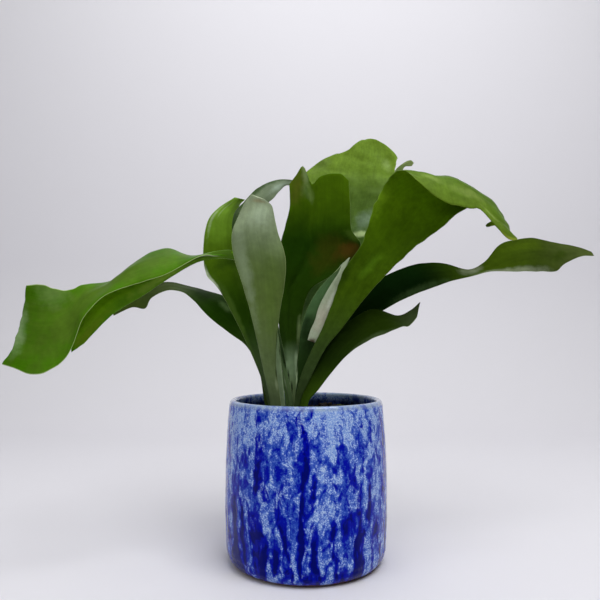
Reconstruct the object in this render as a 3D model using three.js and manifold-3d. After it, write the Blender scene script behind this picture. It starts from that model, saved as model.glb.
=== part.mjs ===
// A young staghorn fern in a glazed cylindrical pot.
// Millimetres, +Z up. The origin is the centre of the pot's flat foot, and the plant is seen
// from the front when looking along +Y, with its longest fronds to -X and +X.

import * as THREE from 'three';
import { mergeVertices } from 'three/addons/utils/BufferGeometryUtils.js';
import Module from 'manifold-3d';

const wasm = await Module();
wasm.setup();

// ---------------------------------------------------------------- driving dimensions

const POT_HEIGHT = 122;
const POT_RADIUS = 62.5; // at the widest, half way up the slightly barrel-shaped wall
const POT_LIP_RADIUS = 59.5;
const POT_FOOT_RADIUS = 51; // edge of the flat that the pot stands on
const POT_BELLY_DROP = 2; // how much narrower the wall is just above the foot
const WELL_RADIUS = 55;
const WELL_ROUNDING = 6; // where the inside wall meets the floor
const FLOOR_THICKNESS = 8;
const LIP_ROUNDING = 2.4;
const DRAIN_HOLES = 3;
const DRAIN_HOLE_RADIUS = 5;
const DRAIN_CIRCLE_RADIUS = 26;
const ROUND_SEGMENTS = 48; // of the pot and of the mix inside it

const GAP = 0.3; // between pieces that touch
const MIX_LEVEL = 108;
const MIX_LUMP_HEIGHT = 1.2;
const MOSS_MOUND = { x: 26, y: 34, height: 4, spread: 12 };

const BLADE_THICKNESS = 1.0;
const STIPE_THICKNESS = 1.8;
const HOLE_CLEARANCE = 0.45; // around each stipe where it stands in the mix

// ---------------------------------------------------------------- the fronds
// A frond is one or two straps. A strap is a list of stations from its foot in the mix to its
// tip. Each station gives the left margin (x, y, z), the right margin (x, y, z) and how far the
// middle of the blade bulges towards its face. `columns` is the number of steps across the
// blade. `tip` holds how many stations the end falls short of the last one, from the left
// margin to the right, which cuts the end into its lobes. Below 0 it reaches past the last one.

const FROND_GREEN = 0x3f6210;
const YOUNG_GREEN = 0x5c862a;
const DEEP_GREEN = 0x1d3608;
const FELTED_GREEN = 0x7f9470;
const GLAZE_BLUE = 0x3458a8;
const BARK_BROWN = 0x3a2a1a;

const FRONDS = {
  frond_left_front: {
    colour: FELTED_GREEN,
    straps: [{
      columns: 6,
      stations: [
        [-24, -18, 97, -16.5, -18, 97, 0],
        [-27, -21, 120, -19, -21, 120, 0],
        [-33, -27, 150, -22.5, -27, 150, 1],
        [-40, -38, 184, -20, -38, 184, 3],
        [-46, -46, 207, -16, -46, 207, 4],
        [-52, -53, 228, -15, -51, 226, 5],
        [-53, -56, 243, -20.5, -53, 245, 5],
        [-49, -57, 254, -23.5, -53, 258, 4],
        [-44, -57, 265, -25, -53, 264, 3],
        [-39, -58, 271, -30, -56, 268, 1],
      ],
    }],
  },
  frond_left_long: {
    colour: YOUNG_GREEN,
    straps: [{
      columns: 4,
      stations: [
        [-17.5, -14, 97, -14, -14, 97, 0],
        [-20, -15, 119, -16, -15, 119, 0],
        [-23.5, -17, 145, -18.5, -17, 145, 0],
        [-27, -20, 172, -21.5, -20, 173, 0],
        [-33, -26, 198, -27, -26, 201, 0],
        [-44, -31, 222, -38, -31, 227, 0],
        [-58, -35, 228, -57, -34, 235, 0],
        [-79, -36, 226, -76, -37, 231, 1],
        [-99, -36, 215, -96, -37, 225, 2],
        [-119, -38, 201, -117, -38, 217, 2],
        [-141, -42, 186, -141, -43, 206, 2],
        [-158, -46, 167, -156, -48, 191, 1],
        [-167, -49, 159, -168, -50, 172, 0],
      ],
    }, {
      columns: 6,
      tip: [-0.05, 0.13, 0.14, 0.17, 0.15, 0.12, 0],
      stations: [
        [-54, -33.5, 230, -52.5, -33.5, 234, 0],
        [-67, -37, 230, -66.5, -33, 234, 0],
        [-77.5, -43, 229, -87, -28, 231, 0],
        [-101, -49, 215, -105, -26, 237.5, 2],
        [-125, -55, 206, -123, -30, 230, 3],
        [-144, -60, 196, -143, -35, 213, 2],
        [-155, -62, 182, -158, -42, 209, 1],
        [-166, -60, 156, -173, -48, 203.5, -2],
        [-188, -56, 144, -187, -54, 207, -4],
        [-215, -52, 151, -196, -60, 206, -3],
      ],
    }],
  },
  frond_left_upright: {
    colour: YOUNG_GREEN,
    straps: [{
      columns: 6,
      stations: [
        [-24, -7, 97, -18.5, -7, 97, 0],
        [-29.5, -8, 118.5, -24, -8, 118.5, 0],
        [-35, -8, 138.5, -26.5, -8, 140, 0],
        [-45.5, -8, 163.5, -34.5, -6, 166.5, 0],
        [-56, -7, 185, -40, -2, 190, 1],
        [-69, -4, 208, -45, 4, 213, 2],
        [-80, -1, 222, -50, 10, 232, 3],
        [-83, 2, 242, -55, 16, 250, 3],
        [-80.5, 6, 264, -59, 20, 269, 3],
        [-73, 10, 276, -56, 19, 281, 2],
        [-59, 12, 286.5, -50.5, 14, 285, 0],
      ],
    }],
  },
  frond_back_arch: {
    colour: FELTED_GREEN,
    straps: [{
      columns: 4,
      stations: [
        [-13.5, -11, 97, -10.5, -11, 97, 0],
        [-13.5, -12, 119, -10, -12, 119, 0],
        [-17.5, -13, 139, -14, -13, 140.5, 0],
        [-22.5, -14, 164, -18.5, -14, 165.5, 0],
        [-33, -15, 195, -26, -15, 198, 0],
        [-47, -15, 224, -37, -15, 229, 1],
        [-57, -14, 246, -44, -14, 249, 2],
        [-57, -12, 266, -40, -12, 263, 2],
        [-49, -8, 278, -33, -8, 274, 2],
        [-39, -3, 290, -26, -3, 282, 1],
        [-27, 4, 298, -21, 4, 290, 1],
        [-15, 10, 301, -15, 10, 296, 0],
        [0, 14, 299, -3, 14, 294, 0],
      ],
    }],
  },
  frond_left_low: {
    colour: DEEP_GREEN,
    straps: [{
      columns: 4,
      stations: [
        [-26, -1, 97, -20.5, -1, 97, 0],
        [-32.5, -1, 118, -27, -1, 118, 0],
        [-37, 0, 143, -30, 2, 144.5, 0],
        [-47, 2, 162.5, -35.5, 8, 168, 1],
        [-62, 5, 174, -46, 14, 186, 2],
        [-80, 9, 188, -62, 21, 202, 2],
        [-93, 14, 201, -84, 27, 210, 1],
        [-103, 19, 208, -102, 32, 215, 0],
        [-116, 24, 210, -118, 34, 218, 0],
        [-130, 28, 204, -132, 35, 216, 1],
        [-137, 32, 195, -144, 35, 211, 1],
        [-149, 34, 196, -157, 36, 208, 1],
        [-165, 36, 189, -168, 36, 197, 0],
      ],
    }],
  },
  frond_centre: {
    colour: FROND_GREEN,
    straps: [{
      columns: 8,
      tip: [0.75, 0.4, 0.05, 0.85, 0.6, 0.5, 0.5, 0.58, 0.95],
      stations: [
        [-10, -7.5, 97, -6.5, -7.5, 97, 0],
        [-11.5, -8, 118.5, -8, -8, 118.5, 0],
        [-15.5, -8, 143, -6.5, -8, 143, 0],
        [-20.5, -8, 172, -4.5, -8, 172, -1],
        [-22, -7, 193, -2, -7, 193, -2],
        [-23, -6, 209, 5, -6, 209, -3],
        [-22, -5, 225, 25, -7, 222, -4],
        [-21, -5, 241, 43, -10, 241, -5],
        [-17, -7, 257, 36, -11, 255, -5],
        [-13, -10, 272, 35, -12, 273, -5],
        [-13, -14, 286, 34, -15, 292, -4],
        [-14, -18, 304, 34, -18, 307, -3],
      ],
    }],
  },
  frond_centre_back: {
    colour: YOUNG_GREEN,
    straps: [{
      columns: 8,
      tip: [1.95, 1.33, 0.95, 0.8, 0.3, 0.07, 0.13, 0.44, 1.12],
      stations: [
        [-13, -0.5, 97, -7.5, -0.5, 97, 0],
        [-16, -1, 118, -10, -1, 118, 0],
        [-19, 1, 144.5, -8, 1, 144.5, 0],
        [-19, 6, 172, -2.5, 6, 172, 0],
        [-15, 12, 201, 16, 12, 201, -2],
        [-8, 20, 227, 36, 21, 227, -3],
        [-2, 30, 254, 60, 32, 254, -4],
        [0, 40, 280, 75, 43, 281, -4],
        [0, 48, 302, 84, 51, 301, -3],
        [1, 55, 321, 82, 58, 321, -3],
        [7, 60, 339, 86, 64, 340, -2],
        [14, 62, 356, 82, 66, 357, -2],
      ],
    }],
  },
  frond_right_broad: {
    colour: FROND_GREEN,
    straps: [{
      columns: 8,
      tip: [1.0, 0.2, 0.2, 0.45, 0.8, 1.3, 0.65, 0.2, 0.95],
      stations: [
        [-10.5, -19, 97, -6, -19, 97, 0],
        [-9, -20.5, 120, -5, -20.5, 120, 0],
        [-4, -22.5, 141.5, 4, -22.5, 141, 0],
        [4.5, -25, 161.5, 14.5, -25, 161.5, 0],
        [12, -27, 177, 27, -27, 177, -1],
        [21, -29, 200, 43, -29, 198, -2],
        [28, -30, 220, 60, -31, 217, -4],
        [42, -31, 241, 80, -34, 236, -6],
        [50, -33, 266, 99, -36, 250, -8],
        [58, -35, 283, 118, -38, 265, -10],
        [64, -39, 290, 141, -41, 266, -10],
        [72, -45, 292, 145, -47, 253, -10],
        [75, -51, 288, 146, -53, 244, -7],
        [78, -55, 282, 149, -57, 238, -4],
        [80, -58, 274, 149.5, -60, 231, -2],
      ],
    }, {
      columns: 2,
      stations: [
        [137.5, -58, 248, 136.5, -58, 251, 0],
        [132.6, -57.3, 248.6, 131.4, -57.3, 251.8, 0],
        [129, -56.8, 247.8, 128.2, -56.8, 250.4, 0],
        [127.2, -56.5, 247.7, 126.7, -56.5, 249, 0],
      ],
    }],
  },
  frond_right_long: {
    colour: DEEP_GREEN,
    straps: [{
      columns: 4,
      stations: [
        [-5.5, -4, 97, -0.5, -4, 97, 0],
        [-5.5, -4, 118, -1, -4, 118, 0],
        [5, -2, 143, 12.5, -2, 140, 0],
        [21, 2, 171.5, 32, 0, 165, 0],
        [38, 8, 199, 51, 3, 184, 1],
        [57, 14, 216, 68, 7, 195, 2],
        [76, 20, 226, 86, 11, 204, 3],
        [97, 26, 233, 104, 17, 211, 3],
        [119, 32, 234, 121, 23, 217, 2],
        [141, 36, 229, 140, 29, 222, 0],
        [157, 40, 237, 160, 33, 227, 0],
        [173, 45, 253, 183, 35, 227, 2],
        [199, 49, 259, 205, 38, 228, 3],
        [213, 50.5, 257.5, 218.5, 40, 228, 3],
        [229, 52, 254.5, 228, 43, 235, 2],
        [246, 53, 251, 244, 46, 242, 0],
        [257, 53, 247, 257, 49, 243, 0],
      ],
    }],
  },
  frond_right_low: {
    colour: DEEP_GREEN,
    straps: [{
      columns: 4,
      stations: [
        [-5.5, -11, 97, 0.5, -11, 97, 0],
        [-6, -12, 119, 1.5, -12, 119, 0],
        [-1.5, -12, 132.5, 10, -13, 130.5, 0],
        [5.5, -12, 148, 21.5, -15, 145.5, 0],
        [17, -11, 167, 33, -19, 158, 1],
        [33, -11, 182, 48, -23, 168, 2],
        [52, -12, 192, 62, -26, 174, 2],
        [70, -15, 187, 72, -27, 178, 0],
        [80, -19, 191, 77, -28, 178, 0],
        [87, -22, 197, 83, -28, 185, 0],
      ],
    }],
  },
  frond_back_curl: {
    colour: YOUNG_GREEN,
    straps: [{
      columns: 4,
      stations: [
        [-5, 3, 97, -1.5, 3, 97, 0],
        [-5.5, 4, 117.5, -1.5, 4, 117.5, 0],
        [-6, 8, 140, -0.5, 8, 140, 0],
        [-4, 15, 165, 2.5, 15, 165, 0],
        [5, 25, 190, 12, 25, 190, 0],
        [25.5, 40, 221, 32.5, 40, 221, 0],
        [52, 60, 264, 60, 60, 264, 0],
        [72, 74, 301, 80, 74, 300, 0],
        [85, 80, 328, 91, 80, 324, 0],
        [94, 81, 337, 95, 81, 333, 0],
        [101, 81, 340, 100, 81, 334, 0],
        [104, 80, 337, 102, 80, 334, 0],
      ],
    }],
  },
  frond_short_folded: {
    colour: FELTED_GREEN,
    straps: [{
      columns: 4,
      stations: [
        [-9.5, -14, 97, -6.5, -14, 97, 0],
        [-8.5, -15, 119.5, -5.5, -15, 119.5, 0],
        [-7.5, -16, 143.5, -1.5, -16, 143.5, 0],
        [-6, -17, 160.5, 7, -17, 162.5, 0],
        [-4.5, -18, 173.5, 11.5, -18, 176.5, 0],
        [-1.5, -18.5, 185.5, 14.5, -18.5, 188.5, 0],
        [2.5, -18.5, 195.5, 18.5, -18.5, 198.5, 0],
        [8.5, -18.5, 205.5, 23.5, -18.5, 208.5, 0],
        [16, -19, 214.5, 27.5, -19, 218, 0],
        [23.5, -20, 221.5, 31.5, -20, 228, 0],
        [26.5, -21.5, 224.5, 33.5, -21.5, 231, 0],
        [24.5, -23, 219, 31, -23, 224.5, 0],
        [19, -24, 210.5, 27, -24, 212.5, 0],
        [14, -24, 202, 23.5, -24, 202, 0],
        [9.5, -24, 193, 19.5, -24, 191, 0],
        [6.5, -24, 183, 15.5, -24, 181, 0],
        [3, -23.5, 175, 12, -23.5, 172, 0],
        [1, -22.5, 168, 8, -22.5, 165.5, 0],
      ],
    }],
  },
};

const ROWS_PER_STATION = 2;
const TIP_SHARPNESS = 4; // keeps the lobes at the very end of the blade
const RUN_STEP = 0.01; // in stations, for the direction that a strap runs in

const MATTE = 0.95;
const LEAF_SHEEN = 0.45;
const GLAZE_GLOSS = 0.18;

// ---------------------------------------------------------------- solids and meshes

// A closed geometry as a solid that can be joined and cut.
function solid(geometry) {
  const bare = geometry.index ? geometry.toNonIndexed() : geometry.clone();
  bare.deleteAttribute('normal');
  bare.deleteAttribute('uv');
  const merged = mergeVertices(bare, 1e-3);
  const vertProperties = new Float32Array(merged.attributes.position.array);
  const triVerts = new Uint32Array(merged.index.array);
  return new wasm.Manifold(new wasm.Mesh({ numProp: 3, vertProperties, triVerts }));
}

// The largest body of a solid, as a geometry: crumbs that a cut leaves loose are dropped.
function largestBody(manifold) {
  const bodies = manifold.decompose();
  bodies.sort((a, b) => b.volume() - a.volume());
  const { vertProperties, triVerts } = bodies[0].getMesh();
  const geometry = new THREE.BufferGeometry();
  geometry.setAttribute('position', new THREE.BufferAttribute(vertProperties, 3));
  geometry.setIndex(new THREE.BufferAttribute(triVerts, 1));
  geometry.computeVertexNormals();
  return geometry;
}

function mesh(name, geometry, color, roughness) {
  const material = new THREE.MeshStandardMaterial({ color, roughness });
  const result = new THREE.Mesh(geometry, material);
  result.name = name;
  return result;
}

// ---------------------------------------------------------------- straps

// Station values at t, counted in stations, on a smooth curve through every station.
function stationAt(stations, t) {
  const last = stations.length - 1;
  const i = Math.min(Math.max(Math.floor(t), 0), last - 1);
  const s = t - i;
  return stations[i].map((b, k) => {
    const c = stations[i + 1][k];
    const a = i > 0 ? stations[i - 1][k] : 2 * b - c;
    const d = i + 2 <= last ? stations[i + 2][k] : 2 * c - b;
    return b + 0.5 * s * (c - a + s * (2 * a - 5 * b + 4 * c - d + s * (3 * (b - c) + d - a)));
  });
}

// A point of the strap's middle surface: t along it, v from -1 at the left margin to 1 at the
// right. The bulge is a parabola across the blade, square to the blade and to its run.
function strapPoint(stations, t, v, grow = 0) {
  const [lx, ly, lz, rx, ry, rz, bulge] = stationAt(stations, t);
  const left = new THREE.Vector3(lx, ly, lz);
  const right = new THREE.Vector3(rx, ry, rz);
  const marginSum = (s) => new THREE.Vector3(s[0] + s[3], s[1] + s[4], s[2] + s[5]);
  const run = marginSum(stationAt(stations, t + RUN_STEP));
  run.sub(marginSum(stationAt(stations, t - RUN_STEP)));
  const across = right.clone().sub(left);
  const face = across.clone().cross(run).normalize();
  const half = across.length() / 2 + grow;
  return left.add(right).multiplyScalar(0.5)
    .addScaledVector(across.normalize(), v * half)
    .addScaledVector(face, bulge * (1 - v * v));
}

// The strap as a closed skin: its middle surface on a grid, moved half a thickness to each
// side, with both faces split alike, and a rim round the margin. It thins from the stipe to
// half way along. `to` ends it early and `grow` makes it larger all round, for its hole.
function strapGeometry({ stations, columns, tip }, { to, grow = 0 } = {}) {
  const end = stations.length - 1;
  const rowCount = (to ?? end) * ROWS_PER_STATION;
  const point = (row, column) => {
    const t = row / ROWS_PER_STATION;
    const shortfall = tip ? tip[column] * (t / end) ** TIP_SHARPNESS : 0;
    const place = strapPoint(stations, t - shortfall, (2 * column) / columns - 1, grow);
    place.z -= row === 0 ? grow : 0;
    return place;
  };
  const middle = [];
  for (let row = 0; row <= rowCount; row += 1) {
    middle.push(Array.from({ length: columns + 1 }, (_, column) => point(row, column)));
  }
  const clampRow = (row) => Math.min(Math.max(row, 0), rowCount);
  const clampColumn = (column) => Math.min(Math.max(column, 0), columns);
  const faces = { front: [], back: [] };
  for (let row = 0; row <= rowCount; row += 1) {
    const blade = Math.min((2 * row) / ROWS_PER_STATION / end, 1);
    const thickness = THREE.MathUtils.lerp(STIPE_THICKNESS, BLADE_THICKNESS, blade);
    const offset = thickness / 2 + grow;
    const line = (side) => middle[row].map((place, column) => {
      const along = middle[clampRow(row + 1)][column].clone();
      along.sub(middle[clampRow(row - 1)][column]);
      const across = middle[row][clampColumn(column + 1)].clone();
      across.sub(middle[row][clampColumn(column - 1)]);
      const normal = across.cross(along).normalize();
      return place.clone().addScaledVector(normal, side * offset);
    });
    faces.front.push(line(1));
    faces.back.push(line(-1));
  }

  const positions = [];
  const triangle = (...corners) => corners.forEach((p) => positions.push(p.x, p.y, p.z));
  const quad = (a, b, c, d) => {
    triangle(a, b, c);
    triangle(a, c, d);
  };
  const { front, back } = faces;
  for (let row = 0; row < rowCount; row += 1) {
    for (let column = 0; column < columns; column += 1) {
      const [r, c] = [row + 1, column + 1];
      quad(front[row][column], front[row][c], front[r][c], front[r][column]);
      triangle(back[row][column], back[r][c], back[row][c]);
      triangle(back[row][column], back[r][column], back[r][c]);
    }
    const r = row + 1;
    quad(back[row][0], front[row][0], front[r][0], back[r][0]);
    quad(front[row][columns], back[row][columns], back[r][columns], front[r][columns]);
  }
  for (let column = 0; column < columns; column += 1) {
    const c = column + 1;
    quad(back[0][column], back[0][c], front[0][c], front[0][column]);
    quad(front[rowCount][column], front[rowCount][c], back[rowCount][c], back[rowCount][column]);
  }
  const geometry = new THREE.BufferGeometry();
  geometry.setAttribute('position', new THREE.Float32BufferAttribute(positions, 3));
  return geometry;
}

function frond(name) {
  const { straps, colour } = FRONDS[name];
  const solids = straps.map((strap) => solid(strapGeometry(strap)));
  const joined = solids.reduce((whole, piece) => whole.add(piece));
  return mesh(name, largestBody(joined), colour, LEAF_SHEEN);
}

// ---------------------------------------------------------------- the pot

// A profile of (radius, height) points turned about the Z axis.
function turned(profile) {
  const points = profile.map(([radius, height]) => new THREE.Vector2(radius, height));
  return new THREE.LatheGeometry(points, ROUND_SEGMENTS).rotateX(Math.PI / 2);
}

// Profile points on a circle, from one angle to another.
function arc(centreRadius, centreHeight, radius, fromDegrees, toDegrees, steps) {
  return Array.from({ length: steps + 1 }, (_, i) => {
    const angle = THREE.MathUtils.degToRad(fromDegrees + ((toDegrees - fromDegrees) * i) / steps);
    return [centreRadius + radius * Math.cos(angle), centreHeight + radius * Math.sin(angle)];
  });
}

function pot() {
  const footRounding = POT_RADIUS - POT_BELLY_DROP - POT_FOOT_RADIUS;
  const wallTop = POT_HEIGHT - LIP_ROUNDING;
  const middle = POT_HEIGHT / 2;
  const wall = [];
  const wallSteps = 8;
  for (let i = 1; i < wallSteps; i += 1) {
    const height = footRounding + ((wallTop - footRounding) * i) / wallSteps;
    const away = (height - middle) / middle;
    const drop = height < middle ? POT_BELLY_DROP : POT_RADIUS - POT_LIP_RADIUS;
    wall.push([POT_RADIUS - drop * away * away, height]);
  }
  const outerLip = POT_LIP_RADIUS - LIP_ROUNDING;
  const innerLip = WELL_RADIUS + LIP_ROUNDING;
  const innerFoot = WELL_RADIUS - WELL_ROUNDING;
  const profile = [
    [0, 0],
    ...arc(POT_FOOT_RADIUS, footRounding, footRounding, -90, 0, 5),
    ...wall,
    ...arc(outerLip, wallTop, LIP_ROUNDING, 0, 90, 3),
    ...arc(innerLip, wallTop, LIP_ROUNDING, 90, 180, 3).slice(1),
    ...arc(innerFoot, FLOOR_THICKNESS + WELL_ROUNDING, WELL_ROUNDING, 0, -90, 2),
    [0, FLOOR_THICKNESS],
  ];
  let body = solid(turned(profile));
  for (let i = 0; i < DRAIN_HOLES; i += 1) {
    const angle = (2 * Math.PI * i) / DRAIN_HOLES + Math.PI / 2;
    const x = DRAIN_CIRCLE_RADIUS * Math.cos(angle);
    const y = DRAIN_CIRCLE_RADIUS * Math.sin(angle);
    const drillLength = 4 * FLOOR_THICKNESS;
    const drill = new THREE.CylinderGeometry(DRAIN_HOLE_RADIUS, DRAIN_HOLE_RADIUS, drillLength, 16);
    body = body.subtract(solid(drill.rotateX(Math.PI / 2).translate(x, y, 0)));
  }
  return mesh('pot', largestBody(body), GLAZE_BLUE, GLAZE_GLOSS);
}

// ---------------------------------------------------------------- the potting mix

// The mix fills the pot to below the lip. Its top is slightly lumpy, level at the wall, with a
// mound of moss towards the back, and it has a hole for each frond's stipe.
function pottingMix() {
  const radius = WELL_RADIUS - GAP;
  const floor = FLOOR_THICKNESS + GAP;
  const topRings = [1, 0.9, 0.75, 0.58, 0.42, 0.26, 0.12, 0];
  const profile = [
    [0, floor],
    ...arc(radius - WELL_ROUNDING, floor + WELL_ROUNDING, WELL_ROUNDING, -90, 0, 2),
    ...topRings.map((share) => [share * radius, MIX_LEVEL]),
  ];
  const geometry = turned(profile);
  const place = geometry.attributes.position;
  for (let i = 0; i < place.count; i += 1) {
    const [x, y, z] = [place.getX(i), place.getY(i), place.getZ(i)];
    if (z > MIX_LEVEL - 1) {
      const inward = 1 - (Math.hypot(x, y) / radius) ** 4;
      const lumps = MIX_LUMP_HEIGHT * Math.sin(x * 0.31 + 1.7) * Math.cos(y * 0.27 - 0.6);
      const away = Math.hypot(x - MOSS_MOUND.x, y - MOSS_MOUND.y) / MOSS_MOUND.spread;
      const mound = MOSS_MOUND.height * Math.exp(-away * away);
      place.setZ(i, MIX_LEVEL + inward * lumps + mound);
    }
  }
  let body = solid(geometry);
  for (const { straps } of Object.values(FRONDS)) {
    const hole = strapGeometry(straps[0], { to: 1, grow: HOLE_CLEARANCE });
    body = body.subtract(solid(hole));
  }
  return mesh('potting_mix', largestBody(body), BARK_BROWN, MATTE);
}

// ---------------------------------------------------------------- the whole plant

const plant = new THREE.Group();
plant.add(pot(), pottingMix());
for (const name of Object.keys(FRONDS)) {
  plant.add(frond(name));
}

export default plant;
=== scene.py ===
import math

import bmesh
import bpy
import numpy as np
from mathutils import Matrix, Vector


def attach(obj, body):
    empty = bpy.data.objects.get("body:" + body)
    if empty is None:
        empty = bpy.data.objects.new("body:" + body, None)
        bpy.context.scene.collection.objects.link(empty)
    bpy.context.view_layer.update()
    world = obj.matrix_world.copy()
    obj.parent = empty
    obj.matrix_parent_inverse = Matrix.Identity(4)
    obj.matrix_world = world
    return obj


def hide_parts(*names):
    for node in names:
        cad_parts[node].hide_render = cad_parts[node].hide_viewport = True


bl_info = {
    "name": "Potted staghorn fern",
    "version": (1, 0, 0),
    "blender": (4, 5, 0),
    "location": "View3D > Sidebar > Fern",
    "description": "A young staghorn fern in a streaky glazed pot, with its potting mix and stage",
    "category": "Add Mesh",
}

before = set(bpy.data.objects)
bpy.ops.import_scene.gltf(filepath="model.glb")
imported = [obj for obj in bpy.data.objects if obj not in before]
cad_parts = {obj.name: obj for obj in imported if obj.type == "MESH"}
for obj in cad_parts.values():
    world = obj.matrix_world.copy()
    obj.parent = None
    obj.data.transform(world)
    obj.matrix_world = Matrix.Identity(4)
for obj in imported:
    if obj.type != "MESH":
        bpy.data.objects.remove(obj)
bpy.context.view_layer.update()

MM = 0.001

# The camera that was fitted to the photo: place in millimetres, degrees upwards, lens.
EYE = (-4.7, -461, 166.8)
EYE_TILT = 4.12
LENS = 34.68

# The drain holes of the pot, in a ring about its axis.
DRAIN_HOLES = 3
DRAIN_RING = 26 * MM
DRAIN_RADIUS = 5 * MM

# The mound of moss on the mix: place (x, y), width and height, all in millimetres.
MOUND = (26, 34)
MOUND_WIDTH = 12
MOUND_HEIGHT = 4


def srgb(red, green, blue):
    """Linear red, green and blue of a colour given in the 0 to 255 values of a screen."""
    channels = np.array([red, green, blue], float) / 255
    low = channels / 12.92
    high = ((channels + 0.055) / 1.055) ** 2.4
    return tuple(float(c) for c in np.where(channels <= 0.04045, low, high))


# ---------------------------------------------------------------- the fronds' shapes
# A strap is a list of stations from its foot in the mix to its tip, in millimetres: the left
# margin (x, y, z), the right margin (x, y, z) and how far the middle of the blade bulges
# towards its face. `tip` holds how many stations the end falls short of the last one, from the
# left margin to the right, which cuts the end into its lobes. Below 0 it reaches past the last.

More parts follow.
